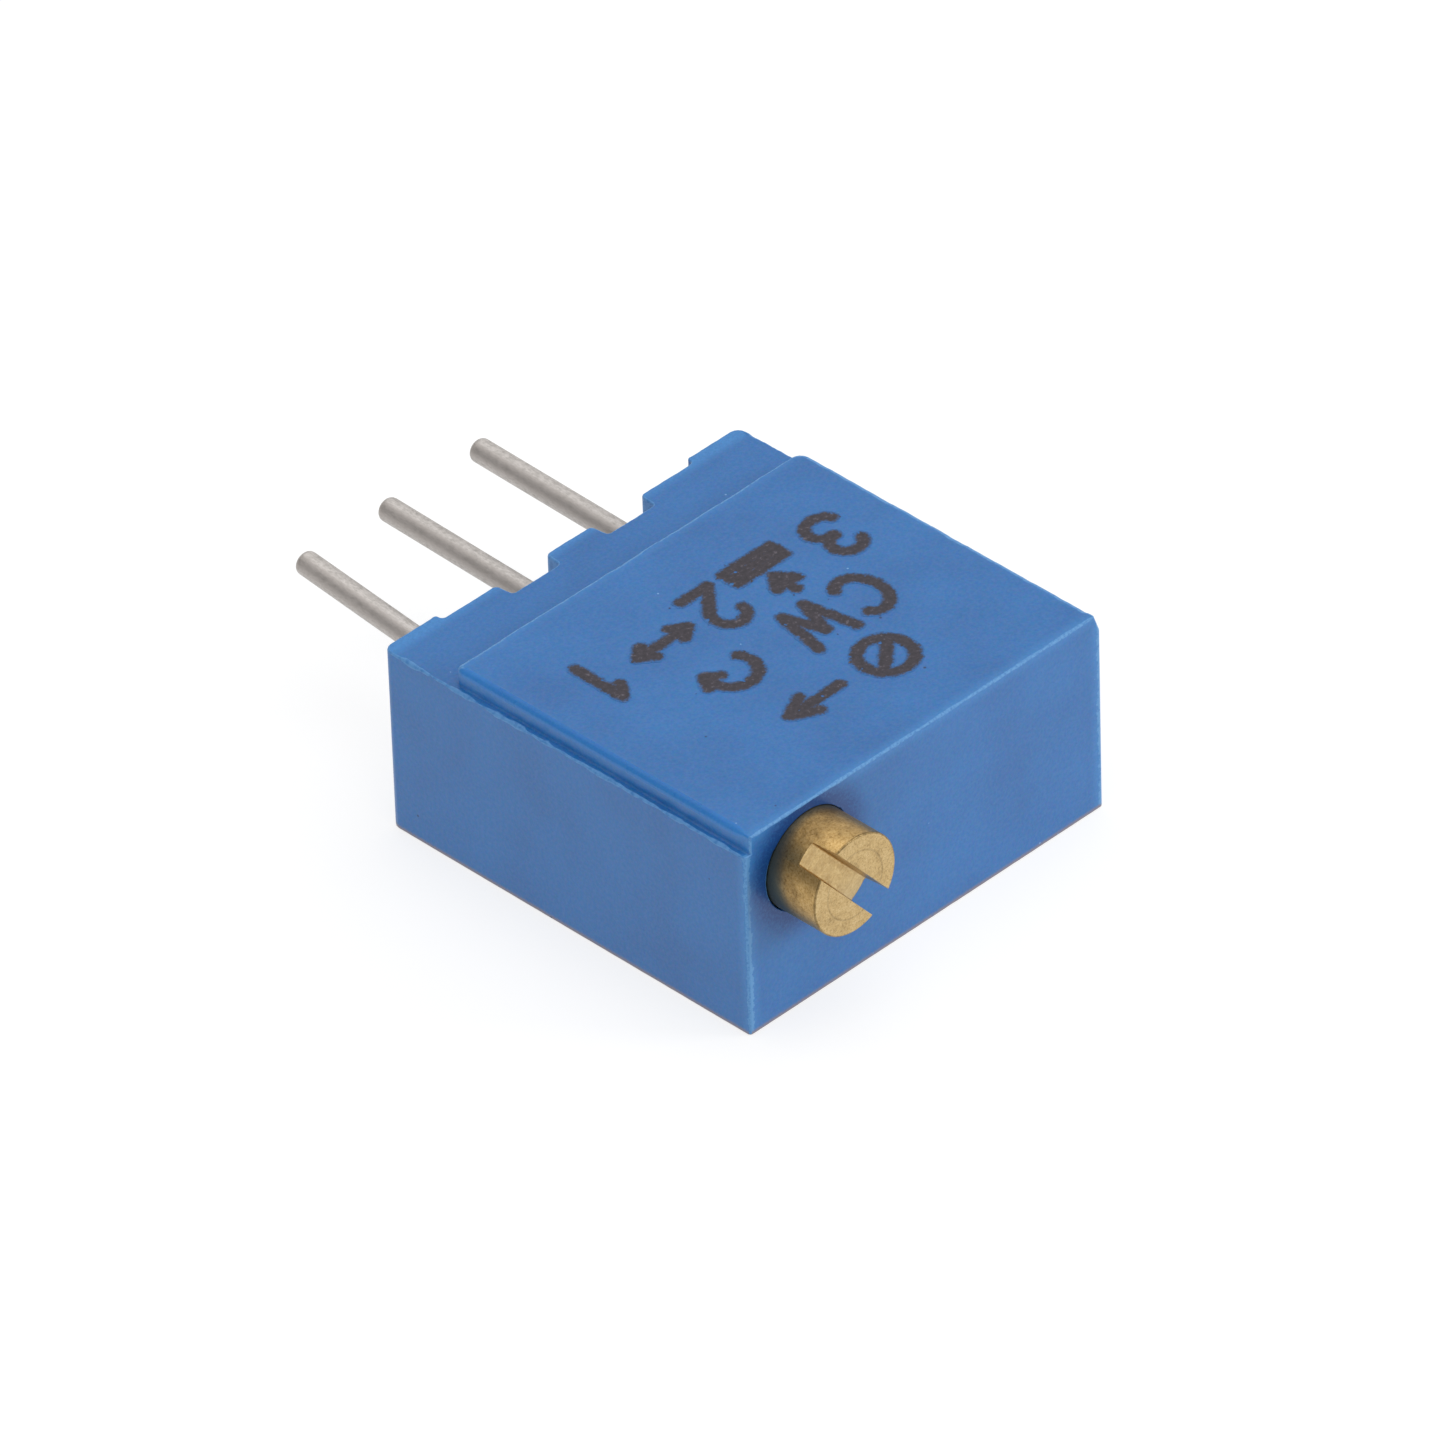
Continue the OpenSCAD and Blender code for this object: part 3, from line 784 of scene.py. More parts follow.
@dataclass(frozen=True)
class TurnedBrass(Finish):
    """Free-cutting brass, turned and saw-slotted: fine tool rings about the screw's axis,
    warm tarnish in patches, a colour that runs browner and darker towards the case,
    painted shade on the turned side and near the case, and small dark pits."""

    axis_x: float = SCREW_X
    axis_z: float = SCREW_Z
    # Between these stations the colour runs browner and darker towards the case.
    darkening_from_y: float = -5.85
    darkening_to_y: float = -4.9
    tarnish: str = "#8f7a57"
    pale: str = "#d6bd8d"
    # Painted shade: the darker, warmer tint of the turned side.
    side_shade_tint: str = "#ece5d9"
    # Painted shade and reflection near the screw's root: its grey-green tone, where it starts and how it
    # leans.
    shade_tone: str = "#656d64"
    root_shade_y: float = -5.35
    root_shade_lean: float = -0.3
    sawn_lift: str = "#9a7c50"
    ring: float = 0.05
    dwell_r: float = 0.72
    dwell: str = "#5a4628"
    head_r: float = HEAD_R
    face_y: float = HEAD_Y
    floor_y: float = HEAD_Y + SLOT_D
    rim_dark: str = "#3a3222"

    def pattern(self, tree: Tree, shader: Node, where: Socket) -> None:
        """Lay tool rings, tarnish and pits over the brass.

        Args:
            tree: the material's node tree.
            shader: its Principled shader.
            where: object coordinates in metres.
        """
        centred = add_node(
            tree,
            "Mapping",
            inputs={"Vector": where, "Location": (-self.axis_x * MM, 0, -self.axis_z * MM)},
        )
        split = add_node(tree, "SeparateXYZ", inputs={"Vector": centred.outputs["Vector"]})
        across = add_node(
            tree,
            "CombineXYZ",
            inputs={"X": split.outputs["X"], "Y": split.outputs["Z"]},
        )
        radius = add_node(
            tree, "VectorMath", {"operation": "LENGTH"}, {0: across.outputs["Vector"]}
        )
        turned = add_node(
            tree,
            "CombineXYZ",
            inputs={"X": radius.outputs["Value"], "Y": split.outputs["Y"]},
        )
        # Feed marks of about 0.02 mm are too fine to show, so they are drawn at 0.05 mm.
        rings = add_node(
            tree,
            "TexNoise",
            inputs={"Vector": turned.outputs["Vector"], "Scale": per_mm(self.ring), "Detail": 2.0},
        )
        patches = add_node(
            tree,
            "TexNoise",
            inputs={"Vector": where, "Scale": per_mm(0.3), "Detail": 5.0, "Roughness": 0.75},
        )
        # The colour runs browner and darker towards the case, between these two stations.
        depth = add_node(
            tree,
            "MapRange",
            inputs={
                "Value": split.outputs["Y"],
                "From Min": self.darkening_from_y * MM,
                "From Max": self.darkening_to_y * MM,
                "To Min": -0.04,
                "To Max": 0.3,
            },
        )
        tarnish_and_depth = add_node(
            tree,
            "Math",
            {"operation": "ADD"},
            {0: patches.outputs["Fac"], 1: depth.outputs["Result"]},
        )
        colour = add_node(
            tree,
            "ValToRGB",
            inputs={0: tarnish_and_depth.outputs["Value"]},
            stops=[(0.3, self.pale), (0.48, self.colour), (0.85, self.tarnish)],
        )
        # Pits and chips of 0.02 mm are drawn at 0.045 mm so that they show.
        grit = add_node(
            tree,
            "TexNoise",
            inputs={"Vector": where, "Scale": per_mm(0.045), "Detail": 3.0, "Roughness": 0.8},
        )
        pits = add_node(
            tree,
            "ValToRGB",
            inputs={0: grit.outputs["Fac"]},
            stops=[(0.3, "#7d6b4c"), (0.44, "#e6dcc6"), (0.6, "#ffffff")],
        )
        pitted = add_node(
            tree,
            "Mix",
            {"data_type": "RGBA", "blend_type": "MULTIPLY"},
            {0: 0.75, 6: colour.outputs["Color"], 7: pits.outputs["Color"]},
        )
        ring_r, mottle = radius.outputs["Value"], patches.outputs["Fac"]
        marked = self.mark_dwell(tree, ring_r, mottle, pitted.outputs[2])
        # The turned side is tinted darker and warmer than the face and the slot: painted shade,
        # for the dimmer light that the side gets.
        side = add_node(
            tree,
            "Math",
            {"operation": "GREATER_THAN"},
            {0: radius.outputs["Value"], 1: (self.head_r - 0.012) * MM},
        )
        side_darkened = add_node(
            tree,
            "Mix",
            {"data_type": "RGBA", "blend_type": "MULTIPLY"},
            {0: side.outputs["Value"], 6: marked, 7: linear(self.side_shade_tint)},
        )
        # Painted shade and reflection: dark grey-green near the case.
        root_shaded = self.paint_root_shade(tree, split, side_darkened.outputs[2])
        sawn = self.pale_floor(tree, split, side.outputs["Value"], root_shaded)
        # A thin dark line along the rim.
        rimmed = self.darken_rim(tree, split, ring_r, mottle, sawn)
        tree.links.new(rimmed, shader.inputs["Base Color"])
        gloss = add_node(
            tree,
            "MapRange",
            inputs={
                "Value": tarnish_and_depth.outputs["Value"],
                "From Min": 0.3,
                "From Max": 0.8,
                "To Min": self.roughness - 0.06,
                "To Max": self.roughness + 0.12,
            },
        )
        duller = add_node(
            tree,
            "Math",
            {"operation": "MULTIPLY_ADD"},
            {0: side.outputs["Value"], 1: 0.03, 2: gloss.outputs["Result"]},
        )
        tree.links.new(duller.outputs["Value"], shader.inputs["Roughness"])
        relief = add_node(
            tree,
            "Mix",
            {"data_type": "FLOAT"},
            {0: 0.45, 2: rings.outputs["Fac"], 3: grit.outputs["Fac"]},
        )
        bump = add_node(
            tree,
            "Bump",
            inputs={"Height": relief.outputs[0], "Strength": 0.9, "Distance": 0.005 * MM},
        )
        tree.links.new(bump.outputs["Normal"], shader.inputs["Normal"])

    def mark_dwell(self, tree: Tree, radius: Socket, mottle: Socket, colour: Socket) -> Socket:
        """Draw one deeper tool ring near the rim, where the parting tool dwelt.

        Args:
            tree: the material's node tree.
            radius: the distance from the screw's axis in metres.
            mottle: the patches that break the ring up.
            colour: the brass's colour so far.

        Returns:
            The marked colour.
        """
        ring_gap = add_node(
            tree,
            "Math",
            {"operation": "SUBTRACT"},
            {0: radius, 1: self.dwell_r * MM},
        )
        ring_off = add_node(tree, "Math", {"operation": "ABSOLUTE"}, {0: ring_gap.outputs["Value"]})
        ring_mark = add_node(
            tree,
            "MapRange",
            inputs={
                "Value": ring_off.outputs["Value"],
                "From Min": 0.028 * MM,
                "From Max": 0.008 * MM,
                "To Max": 0.55,
            },
        )
        part_ring = add_node(
            tree,
            "Math",
            {"operation": "MULTIPLY"},
            {0: ring_mark.outputs["Result"], 1: mottle},
        )
        marked = add_node(
            tree,
            "Mix",
            {"data_type": "RGBA"},
            {0: part_ring.outputs["Value"], 6: colour, 7: linear(self.dwell)},
        )
        return marked.outputs[2]

    def paint_root_shade(self, tree: Tree, split: Node, colour: Socket) -> Socket:
        """Paint shade and a reflection of the blue case on the brass close to it: a dark
        grey-green. The painted shade reaches farther out along the lower side.

        Args:
            tree: the material's node tree.
            split: coordinates from the screw's axis in metres, split up.
            colour: the brass's colour so far.

        Returns:
            The colour with its painted shade.
        """
        leaning = add_node(
            tree,
            "Math",
            {"operation": "MULTIPLY_ADD"},
            {0: split.outputs["Z"], 1: self.root_shade_lean, 2: split.outputs["Y"]},
        )
        near_case = add_node(
            tree,
            "MapRange",
            {"interpolation_type": "SMOOTHSTEP"},
            {
                "Value": leaning.outputs["Value"],
                "From Min": self.root_shade_y * MM,
                "From Max": self.darkening_to_y * MM,
            },
        )
        root_shaded = add_node(
            tree,
            "Mix",
            {"data_type": "RGBA"},
            {0: near_case.outputs["Result"], 6: colour, 7: linear(self.shade_tone)},
        )
        return root_shaded.outputs[2]

    def pale_floor(self, tree: Tree, split: Node, side: Socket, colour: Socket) -> Socket:
        """Leave the slot's floor pale, as the saw did.

        Args:
            tree: the material's node tree.
            split: coordinates from the screw's axis in metres, split up.
            side: one on the turned side, and nought elsewhere.
            colour: the brass's colour so far.

        Returns:
            The colour with its pale floor.
        """
        floor = add_node(
            tree,
            "MapRange",
            inputs={
                "Value": split.outputs["Y"],
                "From Min": (self.floor_y - 0.06) * MM,
                "From Max": (self.floor_y - 0.02) * MM,
            },
        )
        inside = add_node(
            tree, "Math", {"operation": "SUBTRACT"}, {0: floor.outputs["Result"], 1: side}
        )
        sawn = add_node(
            tree,
            "Mix",
            {"data_type": "RGBA", "blend_type": "SCREEN"},
            {0: inside.outputs["Value"], 6: colour, 7: linear(self.sawn_lift)},
        )
        return sawn.outputs[2]

    def darken_rim(
        self, tree: Tree, split: Node, radius: Socket, mottle: Socket, colour: Socket
    ) -> Socket:
        """Darken a hair-thin line along the burr at the rim.

        Args:
            tree: the material's node tree.
            split: coordinates from the screw's axis in metres, split up.
            radius: the distance from that axis in metres.
            mottle: the patches that break the dark line up.
            colour: the brass's colour so far.

        Returns:
            The colour with its dark rim line.
        """
        near_face = add_node(
            tree,
            "Math",
            {"operation": "LESS_THAN"},
            {0: split.outputs["Y"], 1: (self.face_y + 0.035) * MM},
        )
        near_rim = add_node(
            tree,
            "Math",
            {"operation": "GREATER_THAN"},
            {0: radius, 1: (self.head_r - 0.03) * MM},
        )
        rim = add_node(
            tree,
            "Math",
            {"operation": "MULTIPLY"},
            {0: near_face.outputs["Value"], 1: near_rim.outputs["Value"]},
        )
        rim_dark = add_node(
            tree,
            "Math",
            {"operation": "MULTIPLY"},
            {0: rim.outputs["Value"], 1: mottle},
        )
        rimmed = add_node(
            tree,
            "Mix",
            {"data_type": "RGBA"},
            {0: rim_dark.outputs["Value"], 6: colour, 7: linear(self.rim_dark)},
        )
        return rimmed.outputs[2]


@dataclass(frozen=True)
class DrawnMetal(Finish):
    """A metal drawn or rolled along one direction: long fine streaks in its colour and
    gloss, with small grey smudges."""

    along: tuple[float, float, float] = (1.0, 0.06, 1.0)
    dark: str = "#77726c"
    # Painted shade along one side: its tone and strength.
    shade_tone: str = "#b3aca7"
    side_shade: float = 0.0
    streak: float = 0.035
    smudge: float = 0.3
    relief: float = 0.0025

    def pattern(self, tree: Tree, shader: Node, where: Socket) -> None:
        """Lay streaks and smudges over the metal.

        Args:
            tree: the material's node tree.
            shader: its Principled shader.
            where: object coordinates in metres.
        """
        stretched = add_node(
            tree, "Mapping", inputs={"Vector": where, "Scale": self.along}
        )
        # Die marks of about 0.01 mm are too fine to show, so they are drawn at 0.035 mm.
        streaks = add_node(
            tree,
            "TexNoise",
            inputs={
                "Vector": stretched.outputs["Vector"],
                "Scale": per_mm(self.streak),
                "Detail": 3.0,
                "Roughness": 0.7,
            },
        )
        smudges = add_node(
            tree,
            "TexNoise",
            inputs={"Vector": where, "Scale": per_mm(self.smudge), "Detail": 5.0, "Roughness": 0.7},
        )
        wear = add_node(
            tree,
            "Mix",
            {"data_type": "FLOAT"},
            {0: 0.5, 2: streaks.outputs["Fac"], 3: smudges.outputs["Fac"]},
        )
        colour = add_node(
            tree,
            "ValToRGB",
            inputs={0: wear.outputs[0]},
            stops=[(0.34, self.dark), (0.58, self.colour)],
        )
        # Painted shade along the wire's side that faces -X.
        wire_side_shaded = self.paint_side_shade(tree, smudges.outputs["Fac"], colour.outputs["Color"])
        tree.links.new(wire_side_shaded, shader.inputs["Base Color"])
        gloss = add_node(
            tree,
            "MapRange",
            inputs={
                "Value": smudges.outputs["Fac"],
                "From Min": 0.3,
                "From Max": 0.7,
                "To Min": self.roughness - 0.07,
                "To Max": self.roughness + 0.1,
            },
        )
        tree.links.new(gloss.outputs["Result"], shader.inputs["Roughness"])
        bump = add_node(
            tree,
            "Bump",
            inputs={
                "Height": streaks.outputs["Fac"],
                "Strength": 0.7,
                "Distance": self.relief * MM,
            },
        )
        tree.links.new(bump.outputs["Normal"], shader.inputs["Normal"])

    def paint_side_shade(self, tree: Tree, smudges: Socket, colour: Socket) -> Socket:
        """Paint shade along the wire where its surface faces -X and upwards, fading out towards its
        underside.

        Args:
            tree: the material's node tree.
            smudges: the patches that break the painted shade up.
            colour: the metal's colour so far.

        Returns:
            The colour with its painted shade.
        """
        facing = add_node(
            tree, "SeparateXYZ", inputs={"Vector": add_node(tree, "NewGeometry").outputs["Normal"]}
        )
        shade_masks = [
            add_node(
                tree,
                "MapRange",
                {"interpolation_type": "SMOOTHSTEP"},
                {"Value": facing.outputs[axis], "From Min": first, "From Max": last, "To Max": most},
            )
            for axis, first, last, most in (("X", -0.2, -0.5, self.side_shade), ("Z", -0.2, 0.3, 1.0))
        ]
        side = add_node(
            tree,
            "Math",
            {"operation": "MULTIPLY"},
            {0: shade_masks[0].outputs["Result"], 1: shade_masks[1].outputs["Result"]},
        )
        # The painted shade is broken up by the smudges.
        film = add_node(
            tree,
            "Math",
            {"operation": "MULTIPLY_ADD"},
            {0: smudges, 1: 0.8, 2: 0.6},
        )
        side_shade = add_node(
            tree,
            "Math",
            {"operation": "MULTIPLY", "use_clamp": True},
            {0: side.outputs["Value"], 1: film.outputs["Value"]},
        )
        wire_side_shaded = add_node(
            tree,
            "Mix",
            {"data_type": "RGBA"},
            {0: side_shade.outputs["Value"], 6: colour, 7: linear(self.shade_tone)},
        )
        return wire_side_shaded.outputs[2]


@dataclass(frozen=True)
class MottledSolid(Finish):
    """A solid whose colour drifts between two tones in patches, with a fine relief:
    cured epoxy, fired ceramic, fired film, rubber, nylon or a solder joint."""

    second: str = "#000000"
    patch: float = 0.5
    grain: float = 0.05
    relief: float = 0.002
    swing: float = 0.05

    def pattern(self, tree: Tree, shader: Node, where: Socket) -> None:
        """Lay patches of the second tone and a fine relief over the solid.

        Args:
            tree: the material's node tree.
            shader: its Principled shader.
            where: object coordinates in metres.
        """
        patches = add_node(
            tree,
            "TexNoise",
            inputs={"Vector": where, "Scale": per_mm(self.patch), "Detail": 4.0, "Roughness": 0.6},
        )
        colour = add_node(
            tree,
            "ValToRGB",
            inputs={0: patches.outputs["Fac"]},
            stops=[(0.35, self.colour), (0.68, self.second)],
        )
        tree.links.new(colour.outputs["Color"], shader.inputs["Base Color"])
        gloss = add_node(
            tree,
            "MapRange",
            inputs={
                "Value": patches.outputs["Fac"],
                "From Min": 0.3,
                "From Max": 0.7,
                "To Min": max(0.02, self.roughness - self.swing),
                "To Max": self.roughness + self.swing,
            },
        )
        tree.links.new(gloss.outputs["Result"], shader.inputs["Roughness"])
        grains = add_node(
            tree,
            "TexNoise",
            inputs={"Vector": where, "Scale": per_mm(self.grain), "Detail": 3.0},
        )
        bump = add_node(
            tree,
            "Bump",
            inputs={
                "Height": grains.outputs["Fac"],
                "Strength": 0.6,
                "Distance": self.relief * MM,
            },
        )
        tree.links.new(bump.outputs["Normal"], shader.inputs["Normal"])


# Moulded glass-filled polyester: a satin blue face, which reads soft and slightly cloudy.
CASE_PLASTIC = MouldedPlastic("moulded_polyester", "#1e6fb3", 0.34, 1.48)
# The same plastic on the panel's left rounding: glossier, with a deeper, saturated blue
# that is painted light, for how light falls on the rounding.
CASE_GLOSSY_PAINTED_LIGHT = MouldedPlastic(
    "glossy_polyester_edge_painted_light",
    "#0f6cbb",
    0.28,
    1.48,
    pale="#1a78c8",
    deep="#106dba",
    blush="#140807",
)
# The same plastic stressed pale along the tool's parting edge.
CASE_WITNESS = WitnessEdge(
    "stressed_polyester_edge", "#5c9ad2", 0.5, 1.55, face="#3577bb", grain=0.06, share=0.72
)
# The same plastic lightly scuffed on its corners: a faint, broken pale line.
# On the notches' walls its pale colour is painted light, for the light that reaches them.
CASE_SCUFF_AND_PAINTED_LIGHT = WitnessEdge(
    "scuffed_polyester_and_painted_light", "#5592cc", 0.45, 1.55, face="#2c73b8", grain=0.11, share=0.74
)
# Cured pad-printing ink: a dry film, nearly black with a paler mottle.
MARKING_INK = PadInk("cured_pad_ink", "#242028", 0.6)
# Potting epoxy filled with blue pigment: glossy, with a skin of slight ripples.
SEAL_EPOXY = MottledSolid(
    "cured_potting_epoxy", "#16294f", 0.18, 1.55, second="#21407a", patch=0.9, grain=0.25, relief=0.006
)
# Fired 96 percent alumina: chalky off-white with a fine tooth.
ALUMINA = MottledSolid(
    "fired_alumina", "#ece6d6", 0.6, 1.76, second="#ddd6c4", patch=1.2, grain=0.04
)
# Fired ruthenium-oxide cermet film: near black, slightly glassy.
CERMET = MottledSolid(
    "fired_cermet_film", "#232122", 0.45, 1.6, second="#3a3635", patch=0.2, grain=0.03
)
# Fired palladium-silver film: dull grey metal with a matt tooth.
SILVER_FILM = MottledSolid(
    "fired_silver_film",
    "#c2beb4",
    0.45,
    metallic=1.0,
    second="#a39e92",
    patch=0.25,
    grain=0.03,
)
# Free-cutting brass, turned and saw-slotted: warm and slightly tarnished, with tool rings.
TURNED_SCREW = TurnedBrass("turned_brass", "#ccb17f", 0.33, metallic=1.0)
# Tinned copper wire, hot dipped and wiped: satin warm grey with lengthwise streaks,
# and painted shade along the side that faces -X.
TINNED_WIRE = DrawnMetal(
    "tinned_copper_wire",
    "#cbc6c2",
    0.56,
    metallic=1.0,
    dark="#a39e99",
    along=(1.0, 0.3, 1.0),
    side_shade=0.6,
    smudge=0.13,
    relief=0.004,
)
# Tin-silver solder as it froze: bright, with a faint frosty skin.
SOLDER = MottledSolid(
    "frozen_solder",
    "#c9cbcd",
    0.25,
    metallic=1.0,
    second="#a4a7aa",
    patch=0.2,
    grain=0.08,
    relief=0.004,
)
# Rolled stainless sheet, stamped: straight rolling lines across the clip.
CLIP_STEEL = DrawnMetal(
    "stamped_stainless_sheet", "#c9c9c8", 0.3, metallic=1.0, dark="#8c8c8a", along=(0.06, 1.0, 1.0)
)
# Nitrile rubber cord: matt black with a dusty bloom.
SEAL_RUBBER = MottledSolid(
    "nitrile_rubber", "#161617", 0.7, 1.52, second="#2a2a2c", patch=0.2, grain=0.04
)
# Unfilled nylon, moulded: waxy cream, slightly translucent to the eye.
WHEEL_NYLON = MottledSolid(
    "moulded_nylon", "#e6dfc9", 0.38, 1.53, second="#d8cfb4", patch=0.8, grain=0.1
)
# Rolled spring alloy sheet, gold-toned, bright along the rolling direction.
SPRING_ALLOY = DrawnMetal(
    "rolled_spring_alloy", "#d9b06a", 0.26, metallic=1.0, dark="#9a7740", along=(0.08, 1.0, 1.0)
)


# ---------------------------------------------------------------- mesh work, in millimetres

# Faces that turn by less than this, in radians, are one flat.
FLAT = math.radians(0.4)
# Vertices nearer than this, in mm, are one vertex.
WELD = 1e-4
# A quarter turn in three steps, in radians, for a small round.
QUARTER = [math.radians(a) for a in (0, 30, 60, 90)]


def join_flats(bm: Mesh) -> None:
    """Make the faces of each flat one face again."""
    bmesh.ops.dissolve_limit(bm, angle_limit=FLAT, verts=bm.verts, edges=bm.edges)


def skin(bm: Mesh, rings: list[list[bmesh.types.BMVert]]) -> Mesh:
    """Close a row of rings into a solid, with a face at each end.

    Args:
        bm: the mesh that the rings are in.
        rings: the rings in order along the solid, all with as many vertices.

    Returns:
        The same mesh.
    """
    count = len(rings[0])
    for low, high in zip(rings, rings[1:]):
        for k in range(count):
            j = (k + 1) % count
            bm.faces.new((low[k], low[j], high[j], high[k]))
    bm.faces.new(rings[0])
    bm.faces.new(rings[-1][::-1])
    bmesh.ops.recalc_face_normals(bm, faces=bm.faces)
    return bm


def node_mesh(node: str) -> Mesh:
    """Copy a CAD node's mesh in millimetres, its corners joined and its flats made whole.

    Args:
        node: the CAD node's name.

    Returns:
        The copy.
    """
    bm = bmesh.new()
    bm.from_mesh(frame["nodes"][node].data)
    bmesh.ops.scale(bm, vec=(1 / MM,) * 3, verts=bm.verts)
    bmesh.ops.remove_doubles(bm, verts=bm.verts, dist=WELD)
    join_flats(bm)
    return bm


def lathe(profile: list[tuple[float, float]], segments: int) -> Mesh:
    """Turn a profile about the Y axis into a closed solid.

    Args:
        profile: radius and station of each point, from one end of the axis to the other.
        segments: how many sides the turned solid has.

    Returns:
        The solid, with its axis on the Y axis.
    """
    bm = bmesh.new()
    rings = []
    for r, y in profile:
        angles = (2 * math.pi * k / segments for k in range(segments))
        rings.append([bm.verts.new((r * math.cos(a), y, r * math.sin(a))) for a in angles])
    return skin(bm, rings)


def combine(
    first: Mesh, second: Mesh, operation: str
) -> Mesh:
    """Join or cut two closed solids exactly, and use them up.

    Args:
        first: the solid that is kept or cut.
        second: the solid that is added or taken away.
        operation: "UNION" or "DIFFERENCE".

    Returns:
        The solid that results.
    """
    target, tool = (mesh_object("working", bm) for bm in (first, second))
    step = target.modifiers.new("join", "BOOLEAN")
    step.operation = operation
    step.solver = "EXACT"
    step.object = tool
    bpy.context.view_layer.update()
    shape = target.evaluated_get(bpy.context.evaluated_depsgraph_get()).to_mesh()
    bm = bmesh.new()
    bm.from_mesh(shape)
    for used in (target, tool):
        mesh = used.data
        bpy.data.objects.remove(used)
        bpy.data.meshes.remove(mesh)
    bmesh.ops.remove_doubles(bm, verts=bm.verts, dist=WELD / 10)
    return bm


def add_mesh(bm: Mesh, other: Mesh) -> None:
    """Add a second mesh to a first, and use the second up.

    Args:
        bm: the mesh that grows.
        other: the mesh that is added.
    """
    mesh = bpy.data.meshes.new("working")
    other.to_mesh(mesh)
    other.free()
    bm.from_mesh(mesh)
    bpy.data.meshes.remove(mesh)


@dataclass
class Piece:
    """A finished mesh of the object: its name, where it rides, and what it stands for."""

    name: str
    body: Body
    finishes: list[Finish]
    stands_for: list[str] = field(default_factory=list)
    slot: str = ""

    def place(
        self, bm: Mesh, sharp: float = 50.0, even: bool = True
    ) -> bpy.types.Object:
        """Turn a mesh in millimetres into the placed and finished piece.

        Args:
            bm: the mesh, which is used up.
            sharp: edges steeper than this many degrees stay sharp.
            even: whether large flats keep their own direction at their rims.

        Returns:
            The piece.
        """
        bmesh.ops.scale(bm, vec=(MM,) * 3, verts=bm.verts)
        for face in bm.faces:
            face.smooth = True
        made = mesh_object(self.name, bm)
        mesh = made.data
        mesh.set_sharp_from_angle(angle=math.radians(sharp))
        for finish in self.finishes:
            mesh.materials.append(finish.material())
        if even:
            made.modifiers.new("even_flats", "WEIGHTED_NORMAL").keep_sharp = True
        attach(made, self.body.value)
        if self.stands_for:
            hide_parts(*self.stands_for)
        LOG.info("%s: %d faces", self.name, len(mesh.polygons))
        return made


# ---------------------------------------------------------------- case


@dataclass(frozen=True)
class EdgeRule:
    """How one kind of moulded edge is rounded: how it came out of the tool, its width in mm,
    and how much of that width comes and goes along it."""

    kind: EdgeKind
    width: float
    wobble: float


PANEL_FOOT = EdgeRule(EdgeKind.PLAIN, 0.045, 0.2)
# The panel's left rounding: a glossier plastic whose deeper, saturated blue is painted light.
PANEL_LEFT = EdgeRule(EdgeKind.GLOSSY_PAINTED_LIGHT, 0.15, 0.1)
PANEL_FRONT = EdgeRule(EdgeKind.WITNESS, 0.045, 0.4)
PANEL_RIM = EdgeRule(EdgeKind.WITNESS, 0.085, 0.35)
LEDGE_SIDE = EdgeRule(EdgeKind.SCUFF_AND_PAINTED_LIGHT, 0.05, 0.9)
LEDGE_REAR = EdgeRule(EdgeKind.SCUFF_AND_PAINTED_LIGHT, 0.04, 0.4)
TUB_FOOT = EdgeRule(EdgeKind.PLAIN, 0.024, 0.25)
BORE_MOUTH = EdgeRule(EdgeKind.PLAIN, 0.03, 0.2)
NOTCH_CORNER = EdgeRule(EdgeKind.PLAIN, 0.04, 0.3)


@dataclass
class SharpEdge:
    """One short length of a moulded edge before it is rounded."""

    start: Vector
    end: Vector
    kind: EdgeKind
    width: float
    wobble: float


